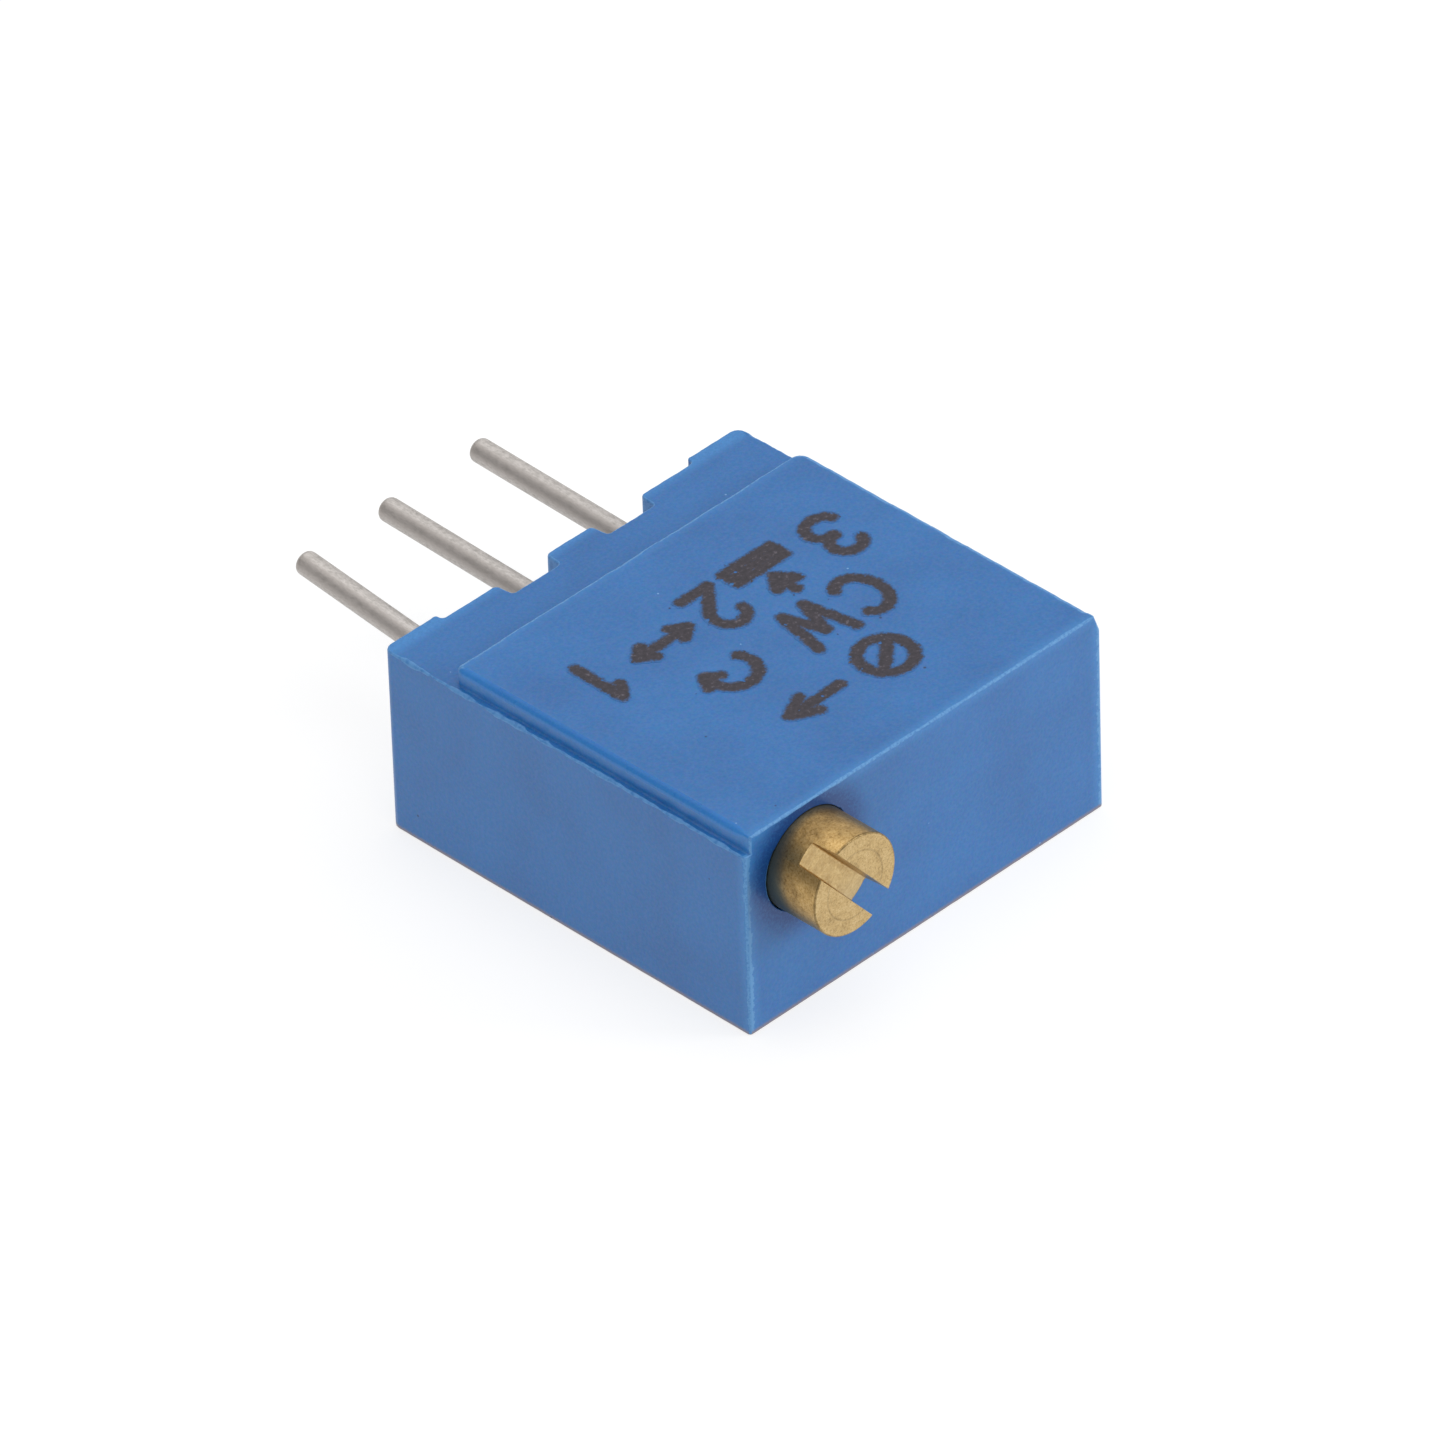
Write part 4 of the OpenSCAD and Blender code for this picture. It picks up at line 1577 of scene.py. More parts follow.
@dataclass
class Case:
    """The blue tub with its raised panel, standoffs and notches. Sizes are in mm, turns in
    degrees, waves in waves per mm, and the rest are shares."""

    side_x: float = SIDE_X
    panel_x: float = PANEL_X
    face_y: float = FACE_Y
    panel_y: float = PANEL_Y
    back_y: float = BACK_Y
    ledge_z: float = LEDGE_Z
    panel_z: float = PANEL_Z
    panel_cut: float = 0.28
    small_cut: float = 0.1
    corner_w: float = 0.1
    rear_w: float = 0.05
    notch_x: float = 3.4
    notch_d: float = 0.6
    notch_z: float = 2.8
    screw_x: float = SCREW_X
    screw_z: float = SCREW_Z
    bore_r: float = 1.122
    mouth_r: float = 1.09
    mouth_z: float = 4.0
    bore_l: float = 1.2
    bore_room: float = 0.5
    bore_sides: int = 128
    inner_turn: float = -60.0
    outer_turn: float = 35.0
    piece_l: float = 0.09
    edge_w: float = 0.028
    edge_steps: int = 3
    arc_l: float = 0.04
    arc_room: float = 0.4
    calm_l: float = 0.3
    widening: float = 0.3
    least_scale: float = 0.4
    most_scale: float = 4.8
    long_wave: float = 2.2
    short_wave: float = 7.0
    short_share: float = 0.7
    flash_from: float = 0.6
    flash_h: float = 0.035
    flash_wave: float = 6.0

    def build(self) -> bpy.types.Object:
        """Copy the CAD tub, bore it round and give it moulded edges.

        Returns:
            The case.
        """
        bm = node_mesh("housing")
        for vert in bm.verts:
            if vert.co.z > self.panel_z:
                vert.co.z = self.panel_z
        self.sharpen_panel(bm)
        bmesh.ops.remove_doubles(bm, verts=bm.verts, dist=WELD)
        reamer = lathe([(self.bore_r, -self.bore_room), (self.bore_r, self.bore_l)], self.bore_sides)
        mouth = (self.screw_x, self.face_y, self.screw_z)
        bmesh.ops.translate(reamer, vec=mouth, verts=reamer.verts)
        bm = combine(bm, reamer, "DIFFERENCE")
        self.narrow_mouth(bm)
        join_flats(bm)
        self.split_long_edges(bm)
        lengths = self.sharp_lengths(bm)
        rounded = bmesh.ops.bevel(
            bm,
            geom=[edge for edge in bm.edges if self.edge_rule(edge)],
            offset=self.edge_w,
            offset_type="OFFSET",
            segments=self.edge_steps,
            profile=0.5,
            affect="EDGES",
            clamp_overlap=False,
            material=EdgeKind.WITNESS.value,
        )
        self.vary_edges(rounded["faces"], lengths)
        self.mark_corners(bm)
        finishes = [CASE_PLASTIC, CASE_WITNESS, CASE_SCUFF_AND_PAINTED_LIGHT, CASE_GLOSSY_PAINTED_LIGHT]
        return Piece("case_shell", Body.CASE, finishes, ["housing"], "case_plastic").place(bm)

    def sharpen_panel(self, bm: Mesh) -> None:
        """Fill most of the cut at the panel's rear left corner, which the tool left small.

        Args:
            bm: the tub.
        """
        corner = Vector((-self.panel_x, self.panel_y))
        ends = (corner - Vector((0, self.small_cut)), corner + Vector((self.small_cut, 0)))
        for vert in bm.verts:
            flat = vert.co.xy
            if vert.co.z > self.ledge_z - NEAR and (flat - corner).length < 1.1 * self.panel_cut:
                vert.co.xy = min(ends, key=lambda end: (flat - end).length)

    def narrow_mouth(self, bm: Mesh) -> None:
        """Draw the bore's mouth in round the screw, as its moulding draft does.

        Args:
            bm: the tub.
        """
        axis = Vector((self.screw_x, self.face_y, self.screw_z))
        for vert in bm.verts:
            off = vert.co - axis
            if same(off.y, 0) and same(off.length, self.bore_r):
                vert.co = axis + off * (self.mouth_r / off.length)

    def by_notch(self, place: Vector) -> bool:
        """Tell whether a place is at one of the notches between the standoffs."""
        behind = place.y > self.back_y - self.notch_d and abs(place.x) < self.notch_x
        return behind and self.notch_z < place.z < self.ledge_z

    def edge_rule(self, edge: bmesh.types.BMEdge) -> EdgeRule | None:
        """Say how an edge is rounded.

        Args:
            edge: an edge of the tub.

        Returns:
            Its rule, or None for an edge that stays sharp.
        """
        if len(edge.link_faces) != 2:
            return None
        p, q = (vert.co for vert in edge.verts)
        mid = (p + q) / 2
        lowest, highest = sorted((p.z, q.z))
        turn = math.degrees(edge.calc_face_angle_signed(0))
        on_ledge = same(lowest, self.ledge_z) and same(highest, self.ledge_z)
        at_panel_left = same(mid.x, -self.panel_x)
        if turn < self.inner_turn and on_ledge and at_panel_left:
            return PANEL_FOOT
        if turn < self.outer_turn:
            return None
        if lowest > self.panel_z - NEAR:
            if at_panel_left:
                return PANEL_LEFT
            return PANEL_FRONT if same(mid.y, self.face_y) else PANEL_RIM
        if on_ledge:
            return LEDGE_SIDE if same(abs(mid.x), self.side_x) else LEDGE_REAR
        if highest < NEAR:
            outside = abs(mid.x) > self.side_x - self.corner_w or mid.y < self.face_y + self.corner_w
            return TUB_FOOT if outside or mid.y > self.back_y - self.rear_w else None
        from_axis = math.hypot(mid.x - self.screw_x, mid.z - self.screw_z)
        if highest < self.mouth_z and same(mid.y, self.face_y) and same(from_axis, self.mouth_r):
            return BORE_MOUTH
        upright = same(p.x, q.x) and same(p.y, q.y)
        return NOTCH_CORNER if upright and lowest > self.notch_z and self.by_notch(mid) else None

    def limit_near_arcs(self, lengths: list[SharpEdge]) -> None:
        """Keep each rounded edge narrower than the corner arc that it runs into.

        Args:
            lengths: the sharp lengths, which are changed in place.
        """
        spans = [(s.end - s.start).length for s in lengths]
        middles = np.array([tuple((s.start + s.end) / 2) for s in lengths])
        arcs = middles[np.array(spans) < self.arc_l]
        for edge, span, middle in zip(lengths, spans, middles):
            near = np.sqrt(((arcs - middle) ** 2).sum(axis=1)).min() if len(arcs) else math.inf
            if span < self.arc_l:
                edge.width, edge.wobble = self.edge_w, 0.0
            elif near < self.arc_room:
                edge.width = min(edge.width, self.edge_w + self.widening * near)
                edge.wobble *= min(1.0, near / self.calm_l)

    def split_long_edges(self, bm: Mesh) -> None:
        """Split the edges that are rounded into short lengths.

        Args:
            bm: the tub.
        """
        by_cuts: dict[int, list[bmesh.types.BMEdge]] = {}
        for edge in bm.edges:
            cuts = int(edge.calc_length() / self.piece_l)
            if cuts and self.edge_rule(edge):
                by_cuts.setdefault(cuts, []).append(edge)
        for cuts, edges in by_cuts.items():
            bmesh.ops.bisect_edges(bm, edges=edges, cuts=cuts)

    def sharp_lengths(self, bm: Mesh) -> list[SharpEdge]:
        """List the lengths that are about to be rounded.

        Args:
            bm: the tub.

        Returns:
            Each length with its kind, width and wobble.
        """
        found = []
        for edge in bm.edges:
            rule = self.edge_rule(edge)
            if rule:
                start, end = (vert.co.copy() for vert in edge.verts)
                found.append(SharpEdge(start, end, rule.kind, rule.width, rule.wobble))
        self.limit_near_arcs(found)
        return found

    def vary_edges(self, strips: list[bmesh.types.BMFace], lengths: list[SharpEdge]) -> None:
        """Scale each rounded edge about its old sharp line, so that its width wobbles.

        Args:
            strips: the faces of the rounded edges.
            lengths: the sharp lengths they came from.
        """
        starts = np.array([tuple(s.start) for s in lengths])
        spans = np.array([tuple(s.end - s.start) for s in lengths])
        squares = np.maximum((spans**2).sum(axis=1), 1e-12)
        for face in strips:
            near = self.nearest(face.calc_center_median(), starts, spans, squares)[0]
            face.material_index = lengths[near].kind.value
        for vert in {v for face in strips for v in face.verts}:
            near, point = self.nearest(vert.co, starts, spans, squares)
            edge = lengths[near]
            wide = edge.width / self.edge_w
            rough = noise.noise(point * self.long_wave)
            rough += self.short_share * noise.noise(point * self.short_wave + Vector((9, 4, 2)))
            scale = wide * (1 + edge.wobble * rough)
            vert.co = point + (vert.co - point) * min(max(self.least_scale, scale), self.most_scale)
            if edge.wobble > self.flash_from:
                flash = noise.noise(point * self.flash_wave + Vector((5, 2, 0)))
                vert.co.z += self.flash_h * max(0.0, flash)

    @staticmethod
    def nearest(
        point: Vector, starts: np.ndarray, spans: np.ndarray, squares: np.ndarray
    ) -> tuple[int, Vector]:
        """Find the sharp length nearest to a point.

        Args:
            point: where to look from.
            starts: the start of each length.
            spans: the vector along each length.
            squares: the squared size of each vector.

        Returns:
            The length's number, and the nearest point on it.
        """
        away = np.array(tuple(point)) - starts
        share = np.clip((away * spans).sum(axis=1) / squares, 0, 1)
        feet = starts + spans * share[:, None]
        gaps = ((np.array(tuple(point)) - feet) ** 2).sum(axis=1)
        near = int(gaps.argmin())
        return near, Vector(feet[near])

    def mark_corners(self, bm: Mesh) -> None:
        """Give the screw face's upright corners the stressed finish, and the notches' walls
        the pale scuffed one as painted light, which stands in for the light that reaches them.

        Args:
            bm: the tub.
        """
        for face in bm.faces:
            n = face.normal
            mid = face.calc_center_median()
            slanted = abs(n.x) > 0.2 and n.y < -0.2 and abs(n.z) < 0.1
            if slanted and mid.y < self.face_y + self.corner_w:
                face.material_index = EdgeKind.WITNESS.value
            elif abs(n.x) > 0.5 and self.by_notch(mid):
                # Painted light: the notches' walls take the paler scuffed finish, standing in for the light
                # they catch.
                face.material_index = EdgeKind.SCUFF_AND_PAINTED_LIGHT.value


# ---------------------------------------------------------------- print


@dataclass
class Mark:
    """One printed mark: strokes in a unit box, read with its top towards the screw."""

    middle: tuple[float, float]
    size: tuple[float, float]
    strokes: list[list[tuple[float, float]]]

    def lines(self) -> list[tuple[Vector, Vector]]:
        """Lay the strokes out on the panel.

        Returns:
            The ends of each straight length, in mm.
        """
        x, y = self.middle
        wide, high = self.size
        laid = []
        for stroke in self.strokes:
            points = [Vector((x - (u - 0.5) * wide, y - (v - 0.5) * high)) for u, v in stroke]
            laid += list(zip(points, points[1:]))
        return laid


def arc(
    middle: tuple[float, float], radii: tuple[float, float], start: float, end: float, steps: int = 12
) -> list[tuple[float, float]]:
    """Sample an arc in a mark's unit box.

    Args:
        middle: the arc's centre.
        radii: its radius across and up.
        start: its first direction, in degrees from the right.
        end: its last direction.
        steps: how many straight lengths it has.

    Returns:
        The points along the arc.
    """
    turns = (math.radians(start + (end - start) * k / steps) for k in range(steps + 1))
    return [(middle[0] + radii[0] * math.cos(t), middle[1] + radii[1] * math.sin(t)) for t in turns]


ONE = [[(0.2, 0.74), (0.56, 1.0), (0.56, 0.0)]]
TWO = [arc((0.48, 0.7), (0.42, 0.3), 170, -35) + [(0.06, 0.0)], [(0.06, 0.0), (0.95, 0.0)]]
THREE = [
    arc((0.46, 0.75), (0.4, 0.25), 160, -90),
    arc((0.46, 0.26), (0.46, 0.26), 90, -160),
]
LETTER_C = [arc((0.55, 0.5), (0.5, 0.5), 48, 312, 16)]
LETTER_W = [[(0.0, 1.0), (0.22, 0.0), (0.5, 0.72), (0.78, 0.0), (1.0, 1.0)]]
RESISTOR = [
    [(0.08, 0.0), (0.92, 0.0), (0.92, 0.3), (0.08, 0.3), (0.08, 0.0)],
    [(0.08, 0.15), (0.92, 0.15)],
    [(0.5, 1.0), (0.5, 0.55)],
    [(0.32, 0.82), (0.5, 0.56), (0.68, 0.82), (0.32, 0.82), (0.5, 0.7)],
]
TRAVEL = [
    [(0.0, 0.5), (1.0, 0.5)],
    [(0.22, 0.72), (0.0, 0.5), (0.22, 0.28)],
    [(0.78, 0.72), (1.0, 0.5), (0.78, 0.28)],
]
TURN = [
    arc((0.5, 0.42), (0.46, 0.42), 215, -20, 16),
    [(0.72, 0.36), (0.95, 0.2), (1.12, 0.46)],
]
TO_SCREW = [
    [(0.0, 0.5), (1.0, 0.5)],
    [(0.6, 0.82), (1.0, 0.5), (0.6, 0.18)],
]
SLOTTED_HEAD = [
    arc((0.5, 0.5), (0.5, 0.5), 0, 360, 20),
    [(0.2, 0.25), (0.8, 0.75)],
]


# The rows of the print, in mm along the panel.
TERMINAL_ROW = 0.62
TURN_ROW = -1.08
HEAD_ROW = -2.72


@dataclass
class PanelMarking:
    """The print on the panel: terminal numbers, a variable resistor, and the sense of turn.
    Sizes are in mm, and waves in waves per mm."""

    top_z: float = TOP_Z
    across: tuple[float, float] = (-4.2, 4.2)
    along: tuple[float, float] = (-3.7, 1.9)
    thickness: float = 0.0035
    half_stroke: float = 0.178
    cell: float = 0.025
    ragged: float = 0.028
    ragged_reach: float = 0.16
    long_wave: float = 6.0
    short_wave: float = 15.0
    short_share: float = 0.8
    hole_wave: float = 9.0
    hole_from: float = 0.62
    hole_deep: float = 1.3
    blot_high: float = 0.9
    blot_reach: float = 0.12
    least_cut: float = 0.04
    edge_reach: float = 0.252
    marks: list[Mark] = field(
        default_factory=lambda: [
            Mark((3.12, TERMINAL_ROW), (0.82, 1.26), THREE),
            Mark((1.45, TERMINAL_ROW), (1.5, 1.3), RESISTOR),
            Mark((0.02, TERMINAL_ROW), (0.8, 1.26), TWO),
            Mark((-1.45, TERMINAL_ROW), (1.35, 0.95), TRAVEL),
            Mark((-3.1, TERMINAL_ROW), (0.72, 1.26), ONE),
            Mark((2.2, TURN_ROW), (0.88, 1.2), LETTER_C),
            Mark((0.9, TURN_ROW), (1.02, 1.2), LETTER_W),
            Mark((-1.2, -1.05), (1.1, 1.15), TURN),
            Mark((1.1, HEAD_ROW), (1.1, 1.1), SLOTTED_HEAD),
            Mark((-0.8, HEAD_ROW), (1.35, 0.9), TO_SCREW),
        ]
    )

    def build(self) -> bpy.types.Object:
        """Print the marks as a thin film with ragged edges.

        Returns:
            The print.
        """
        xs, ys = (np.arange(*span, self.cell) for span in (self.across, self.along))
        level = self.film_level(xs, ys)
        bm = self.contour(xs, ys, level)
        made = bmesh.ops.extrude_face_region(bm, geom=bm.faces[:])
        moved = [v for v in made["geom"] if isinstance(v, bmesh.types.BMVert)]
        bmesh.ops.translate(bm, vec=(0, 0, -self.thickness), verts=moved)
        bmesh.ops.recalc_face_normals(bm, faces=bm.faces)
        return Piece("panel_marking", Body.CASE, [MARKING_INK]).place(bm)

    def film_level(self, xs: np.ndarray, ys: np.ndarray) -> np.ndarray:
        """Work out how far inside the print each grid point lies.

        Args:
            xs: the grid's stations across the panel.
            ys: its stations along the panel.

        Returns:
            The level at each point, positive where there is ink.
        """
        gx, gy = np.meshgrid(xs, ys, indexing="ij")
        gap = np.full(gx.shape, np.inf)
        for mark in self.marks:
            for a, b in mark.lines():
                along = b - a
                share = ((gx - a.x) * along.x + (gy - a.y) * along.y) / max(along.length_squared, 1e-9)
                share = np.clip(share, 0, 1)
                away = np.hypot(gx - a.x - share * along.x, gy - a.y - share * along.y)
                gap = np.minimum(gap, away)
        level = self.half_stroke - gap
        for i, j in np.argwhere(level > -self.ragged_reach):
            at = Vector((gx[i, j], gy[i, j], 0))
            rough = noise.noise(at * self.long_wave)
            rough += self.short_share * noise.noise(at * self.short_wave + Vector((3, 7, 1)))
            level[i, j] += self.ragged * rough
            hole = noise.noise(at * self.hole_wave + Vector((20, 5, 8)))
            if hole > self.hole_from:
                level[i, j] -= self.hole_deep * (hole - self.hole_from)
            if hole < -self.hole_from and gap[i, j] < self.half_stroke + self.blot_reach:
                level[i, j] += self.blot_high * (-hole - self.hole_from)
        return level

    def contour(self, xs: np.ndarray, ys: np.ndarray, level: np.ndarray) -> Mesh:
        """Mesh the inked region, with its outline cut exactly at level zero.

        Args:
            xs: the grid's stations across the panel.
            ys: its stations along the panel.
            level: the level at each grid point.

        Returns:
            The film's flat upper face.
        """
        bm = bmesh.new()
        depth = bm.verts.layers.float.new("film_depth")
        known: dict[tuple[int, int, int, int], bmesh.types.BMVert] = {}

        def vertex(a: tuple[int, int], b: tuple[int, int]) -> bmesh.types.BMVert:
            """Find or make the shared vertex at a grid point, or where the outline cuts an edge.

            Args:
                a: a grid point.
                b: the same grid point, or its neighbour on the outline's other side.

            Returns:
                The vertex.
            """
            key = (*min(a, b), *max(a, b))
            if key not in known:
                la, lb = level[a], level[b]
                least, most = self.least_cut, 1 - self.least_cut
                share = 0.0 if a == b else float(np.clip(la / (la - lb), least, most))
                x = xs[a[0]] + share * (xs[b[0]] - xs[a[0]])
                y = ys[a[1]] + share * (ys[b[1]] - ys[a[1]])
                known[key] = bm.verts.new((x, y, self.top_z))
                known[key][depth] = float(la) if a == b else 0.0
            return known[key]

        for i, j in np.argwhere(level > -self.edge_reach):
            if i + 1 >= len(xs) or j + 1 >= len(ys):
                continue
            ring = [(i, j), (i + 1, j), (i + 1, j + 1), (i, j + 1)]
            outline = []
            for k, a in enumerate(ring):
                b = ring[(k + 1) % 4]
                if level[a] > 0:
                    outline.append(vertex(a, a))
                if (level[a] > 0) != (level[b] > 0):
                    outline.append(vertex(a, b))
            if len(outline) > 2:
                bm.faces.new(outline)
        return bm


# ---------------------------------------------------------------- adjusting screw


@dataclass
class AdjustingScrew:
    """The brass screw: a turned and slotted head on the CAD model's own worm. Sizes in mm."""

    axis_x: float = SCREW_X
    axis_z: float = SCREW_Z
    head_r: float = HEAD_R
    head_y: float = HEAD_Y
    head_sides: int = 160
    rim_r: float = 0.03
    join_y: float = -4.565
    slot_w: float = 0.55
    slot_d: float = SLOT_D
    slot_dir: float = 49.8
    floor_r: float = 0.05
    burr: float = 0.012
    taper: float = 0.025
    mouth_wear: float = 0.0075
    saw_room: float = 0.3
    saw_reach: float = 1.6
    lobe_area: float = 0.3
    lobe_rim: float = 0.008

    def build(self) -> bpy.types.Object:
        """Turn the head, saw its slot and join it to the worm.

        Returns:
            The screw.
        """
        bm = combine(self.head(), self.slot_cutter(), "DIFFERENCE")
        lobes = [f for f in bm.faces if f.normal.y < -0.99 and f.calc_area() > self.lobe_area]
        bmesh.ops.inset_individual(bm, faces=lobes, thickness=self.lobe_rim)
        bmesh.ops.translate(bm, vec=(self.axis_x, 0, self.axis_z), verts=bm.verts)
        add_mesh(bm, self.worm())
        piece = Piece(
            "slotted_screw", Body.SCREW, [TURNED_SCREW], ["adjusting_screw"], "screw_brass"
        )
        return piece.place(bm, sharp=38, even=False)

    def head(self) -> Mesh:
        """Turn the head with its rounded rim.

        Returns:
            The head, on the Y axis.
        """
        r, rim = self.head_r, self.rim_r
        profile = [
            (r - rim * (1 - math.sin(a)), self.head_y + rim * (1 - math.cos(a))) for a in QUARTER
        ]
        return lathe([*profile, (r, self.join_y)], self.head_sides)

    def slot_cutter(self) -> Mesh:
        """Shape the saw that cuts the slot, with worn lower corners.

        Returns:
            The cutter, on the Y axis.
        """
        turn = math.radians(self.slot_dir)
        along = Vector((math.cos(turn), 0, -math.sin(turn)))
        across = Vector((math.sin(turn), 0, math.cos(turn)))
        mouth = self.slot_w / 2 + self.mouth_wear
        flare = mouth + self.burr + self.saw_room
        lip, above = self.head_y + self.burr, self.head_y - self.saw_room
        outline = [(-mouth, lip), (-flare, above), (flare, above), (mouth, lip)]
        r = self.floor_r
        in_x, in_y = self.slot_w / 2 - self.taper - r, self.head_y + self.slot_d - r
        for side, turns in ((1, QUARTER), (-1, QUARTER[::-1])):
            outline += [(side * (in_x + r * math.cos(a)), in_y + r * math.sin(a)) for a in turns]
        bm = bmesh.new()
        ends = [
            [bm.verts.new(along * reach + across * w + Vector((0, y, 0))) for w, y in outline]
            for reach in (-self.saw_reach, self.saw_reach)
        ]
        return skin(bm, ends)

    def worm(self) -> Mesh:
        """Take the CAD screw from inside its bore to its journal, closed at the cut.

        Returns:
            The worm and its shank.
        """
        bm = node_mesh("adjusting_screw")
        bmesh.ops.bisect_plane(
            bm,
            geom=bm.verts[:] + bm.edges[:] + bm.faces[:],
            plane_co=(0, self.join_y, 0),
            plane_no=(0, 1, 0),
            clear_inner=True,
        )
        bmesh.ops.holes_fill(bm, edges=[e for e in bm.edges if e.is_boundary], sides=0)
        bmesh.ops.recalc_face_normals(bm, faces=bm.faces)
        return bm


# ---------------------------------------------------------------- terminals


@dataclass
class Terminal:
    """One tinned wire: coined flat inside the wall, round outside, rounded at its tip.
    Sizes are in mm, and the lifts are how far the free end has been bent at its tip."""

    number: int
    lift: float
    lean: float
    tip_y: float
    x: float = field(init=False)
    z: float = field(init=False)
    radius: float = field(init=False)
    start_y: float = field(init=False)
    flat_y: float = 4.6
    round_y: float = 4.78
    blend_steps: int = 7
    free_steps: int = 40
    coin: tuple[float, float, float] = (0.25535, 0.2, 0.08)
    end_l: float = 0.02
    end_share: float = 0.93
    tip_r: float = 0.13
    tip_turns: tuple[float, ...] = (20, 40, 60, 80)
    bend_share: float = 0.12
    segments: int = 48

    def __post_init__(self) -> None:
        """Take the wire's place and gauge from the CAD model."""
        pin = mount(f"pin_{self.number}")
        self.x, _, self.z = in_mm(pin["pos_m"])
        self.radius = pin["dims"]["r_mm"]
        self.start_y = in_mm(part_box(f"pin_{self.number}")[0])[1]

    def build(self) -> bpy.types.Object:
        """Sweep the wire's section along its slightly bent line.

        Returns:
            The wire.
        """
        bm = bmesh.new()
        angles = np.arange(self.segments) * 2 * np.pi / self.segments
        flat = self.coined(angles)
        stations = [self.start_y, self.start_y + self.end_l, self.flat_y]
        stations += list(np.linspace(self.flat_y, self.round_y, self.blend_steps)[1:])
        stations += list(np.linspace(self.round_y, self.tip_y - self.tip_r, self.free_steps)[1:])
        rings = []
        for y in stations:
            share = min(1.0, max(0.0, (y - self.flat_y) / (self.round_y - self.flat_y)))
            share = share * share * (3 - 2 * share)
            size = flat * (1 - share) + self.radius * share
            if y == self.start_y:
                size = size * self.end_share
            rings.append(self.ring(bm, y, angles, size))
        for turn in map(math.radians, self.tip_turns):
            y = self.tip_y - self.tip_r * (1 - math.sin(turn))
            size = self.radius - self.tip_r * (1 - math.cos(turn))
            rings.append(self.ring(bm, y, angles, np.full(self.segments, size)))
        skin(bm, rings)
        name, pin = f"terminal_{self.number}", f"pin_{self.number}"
        return Piece(name, Body.CASE, [TINNED_WIRE], [pin], "tinned_wire").place(bm)

    def coined(self, angles: np.ndarray) -> np.ndarray:
        """Measure the coined section from its middle, in each direction.

        Args:
            angles: the directions, in radians from +X towards +Z.

        Returns:
            The distance to the section's outline in each direction.
        """
        half_w, half_t, corner = self.coin
        low, high = np.zeros(len(angles)), np.full(len(angles), 1.0)
        for _ in range(30):
            middle = (low + high) / 2
            out_x = np.abs(middle * np.cos(angles)) - (half_w - corner)
            out_z = np.abs(middle * np.sin(angles)) - (half_t - corner)
            gap = np.hypot(np.maximum(out_x, 0), np.maximum(out_z, 0)) - corner
            low, high = np.where(gap < 0, middle, low), np.where(gap < 0, high, middle)
        return (low + high) / 2

    def ring(
        self, bm: Mesh, y: float, angles: np.ndarray, size: np.ndarray
    ) -> list[bmesh.types.BMVert]:
        """Add one section of the wire, set square to its bent line.

        Args:
            bm: the wire's mesh.
            y: the section's station.
            angles: the directions of its points.
            size: the distance of each point from the middle.

        Returns:
            The section's vertices.
        """
        free = self.tip_y - self.round_y
        share = max(0.0, (y - self.round_y) / free)
        # The wire bends close to the wall and runs nearly straight from there.
        eased = 1 - math.exp(-share / self.bend_share)
        bend = share - self.bend_share * eased
        slope = eased / free
        middle = Vector(
            (
                self.x + self.lean * bend,
                y - 0.5 * (self.lift**2 + self.lean**2) / free * bend,
                self.z + self.lift * bend,
            )
        )
        ahead = Vector((self.lean * slope, 1, self.lift * slope)).normalized()
        right = Vector((0, 0, 1)).cross(ahead).normalized() * -1
        up = right.cross(ahead).normalized()
        if up.z < 0:
            up = -up
        return [
            bm.verts.new(middle + right * (s * math.cos(a)) + up * (s * math.sin(a)))
            for a, s in zip(angles, size)
        ]


# ---------------------------------------------------------------- pieces kept from the CAD model


@dataclass
class InnerWorks:
    """The pieces that keep their CAD meshes, each with the finish of its material."""

    finishes: dict[str, Finish] = field(
        default_factory=lambda: {
            "back_cover": CASE_PLASTIC,
            "cover_seal": SEAL_EPOXY,
            "pin_seal": SEAL_EPOXY,
            "substrate": ALUMINA,
            "resistive_track": CERMET,
            "collector_track": SILVER_FILM,
            "end_conductor_1": SILVER_FILM,
            "end_conductor_3": SILVER_FILM,
            "solder_1": SOLDER,
            "solder_2": SOLDER,
            "solder_3": SOLDER,
            "screw_retainer": CLIP_STEEL,
            "o_ring": SEAL_RUBBER,
            "worm_wheel": WHEEL_NYLON,
            "wiper": SPRING_ALLOY,
        }
    )

    def dress(self) -> None:
        """Give each kept CAD node its finish."""
        for name, finish in self.finishes.items():
            node = frame["nodes"][name]
            if not node.material_slots:
                node.data.materials.append(finish.material())
            for slot in node.material_slots:
                slot.material = finish.material()
            LOG.info("%s: %s", name, finish.name)


# ---------------------------------------------------------------- studio and camera


@dataclass(frozen=True)
class Lamp:
    """A square soft lamp that faces the part: power in watts, side and place in metres."""

    name: str
    power: float
    side: float
    place: tuple[float, float, float]

    def hang(self) -> None:
        """Hang the lamp."""
        data = bpy.data.lights.new(self.name, "AREA")
        data.energy = self.power
        data.size = self.side
        lamp = add_object(self.name, data)
        lamp.location = self.place
        lamp.rotation_euler = Vector(self.place).to_track_quat("Z", "Y").to_euler()


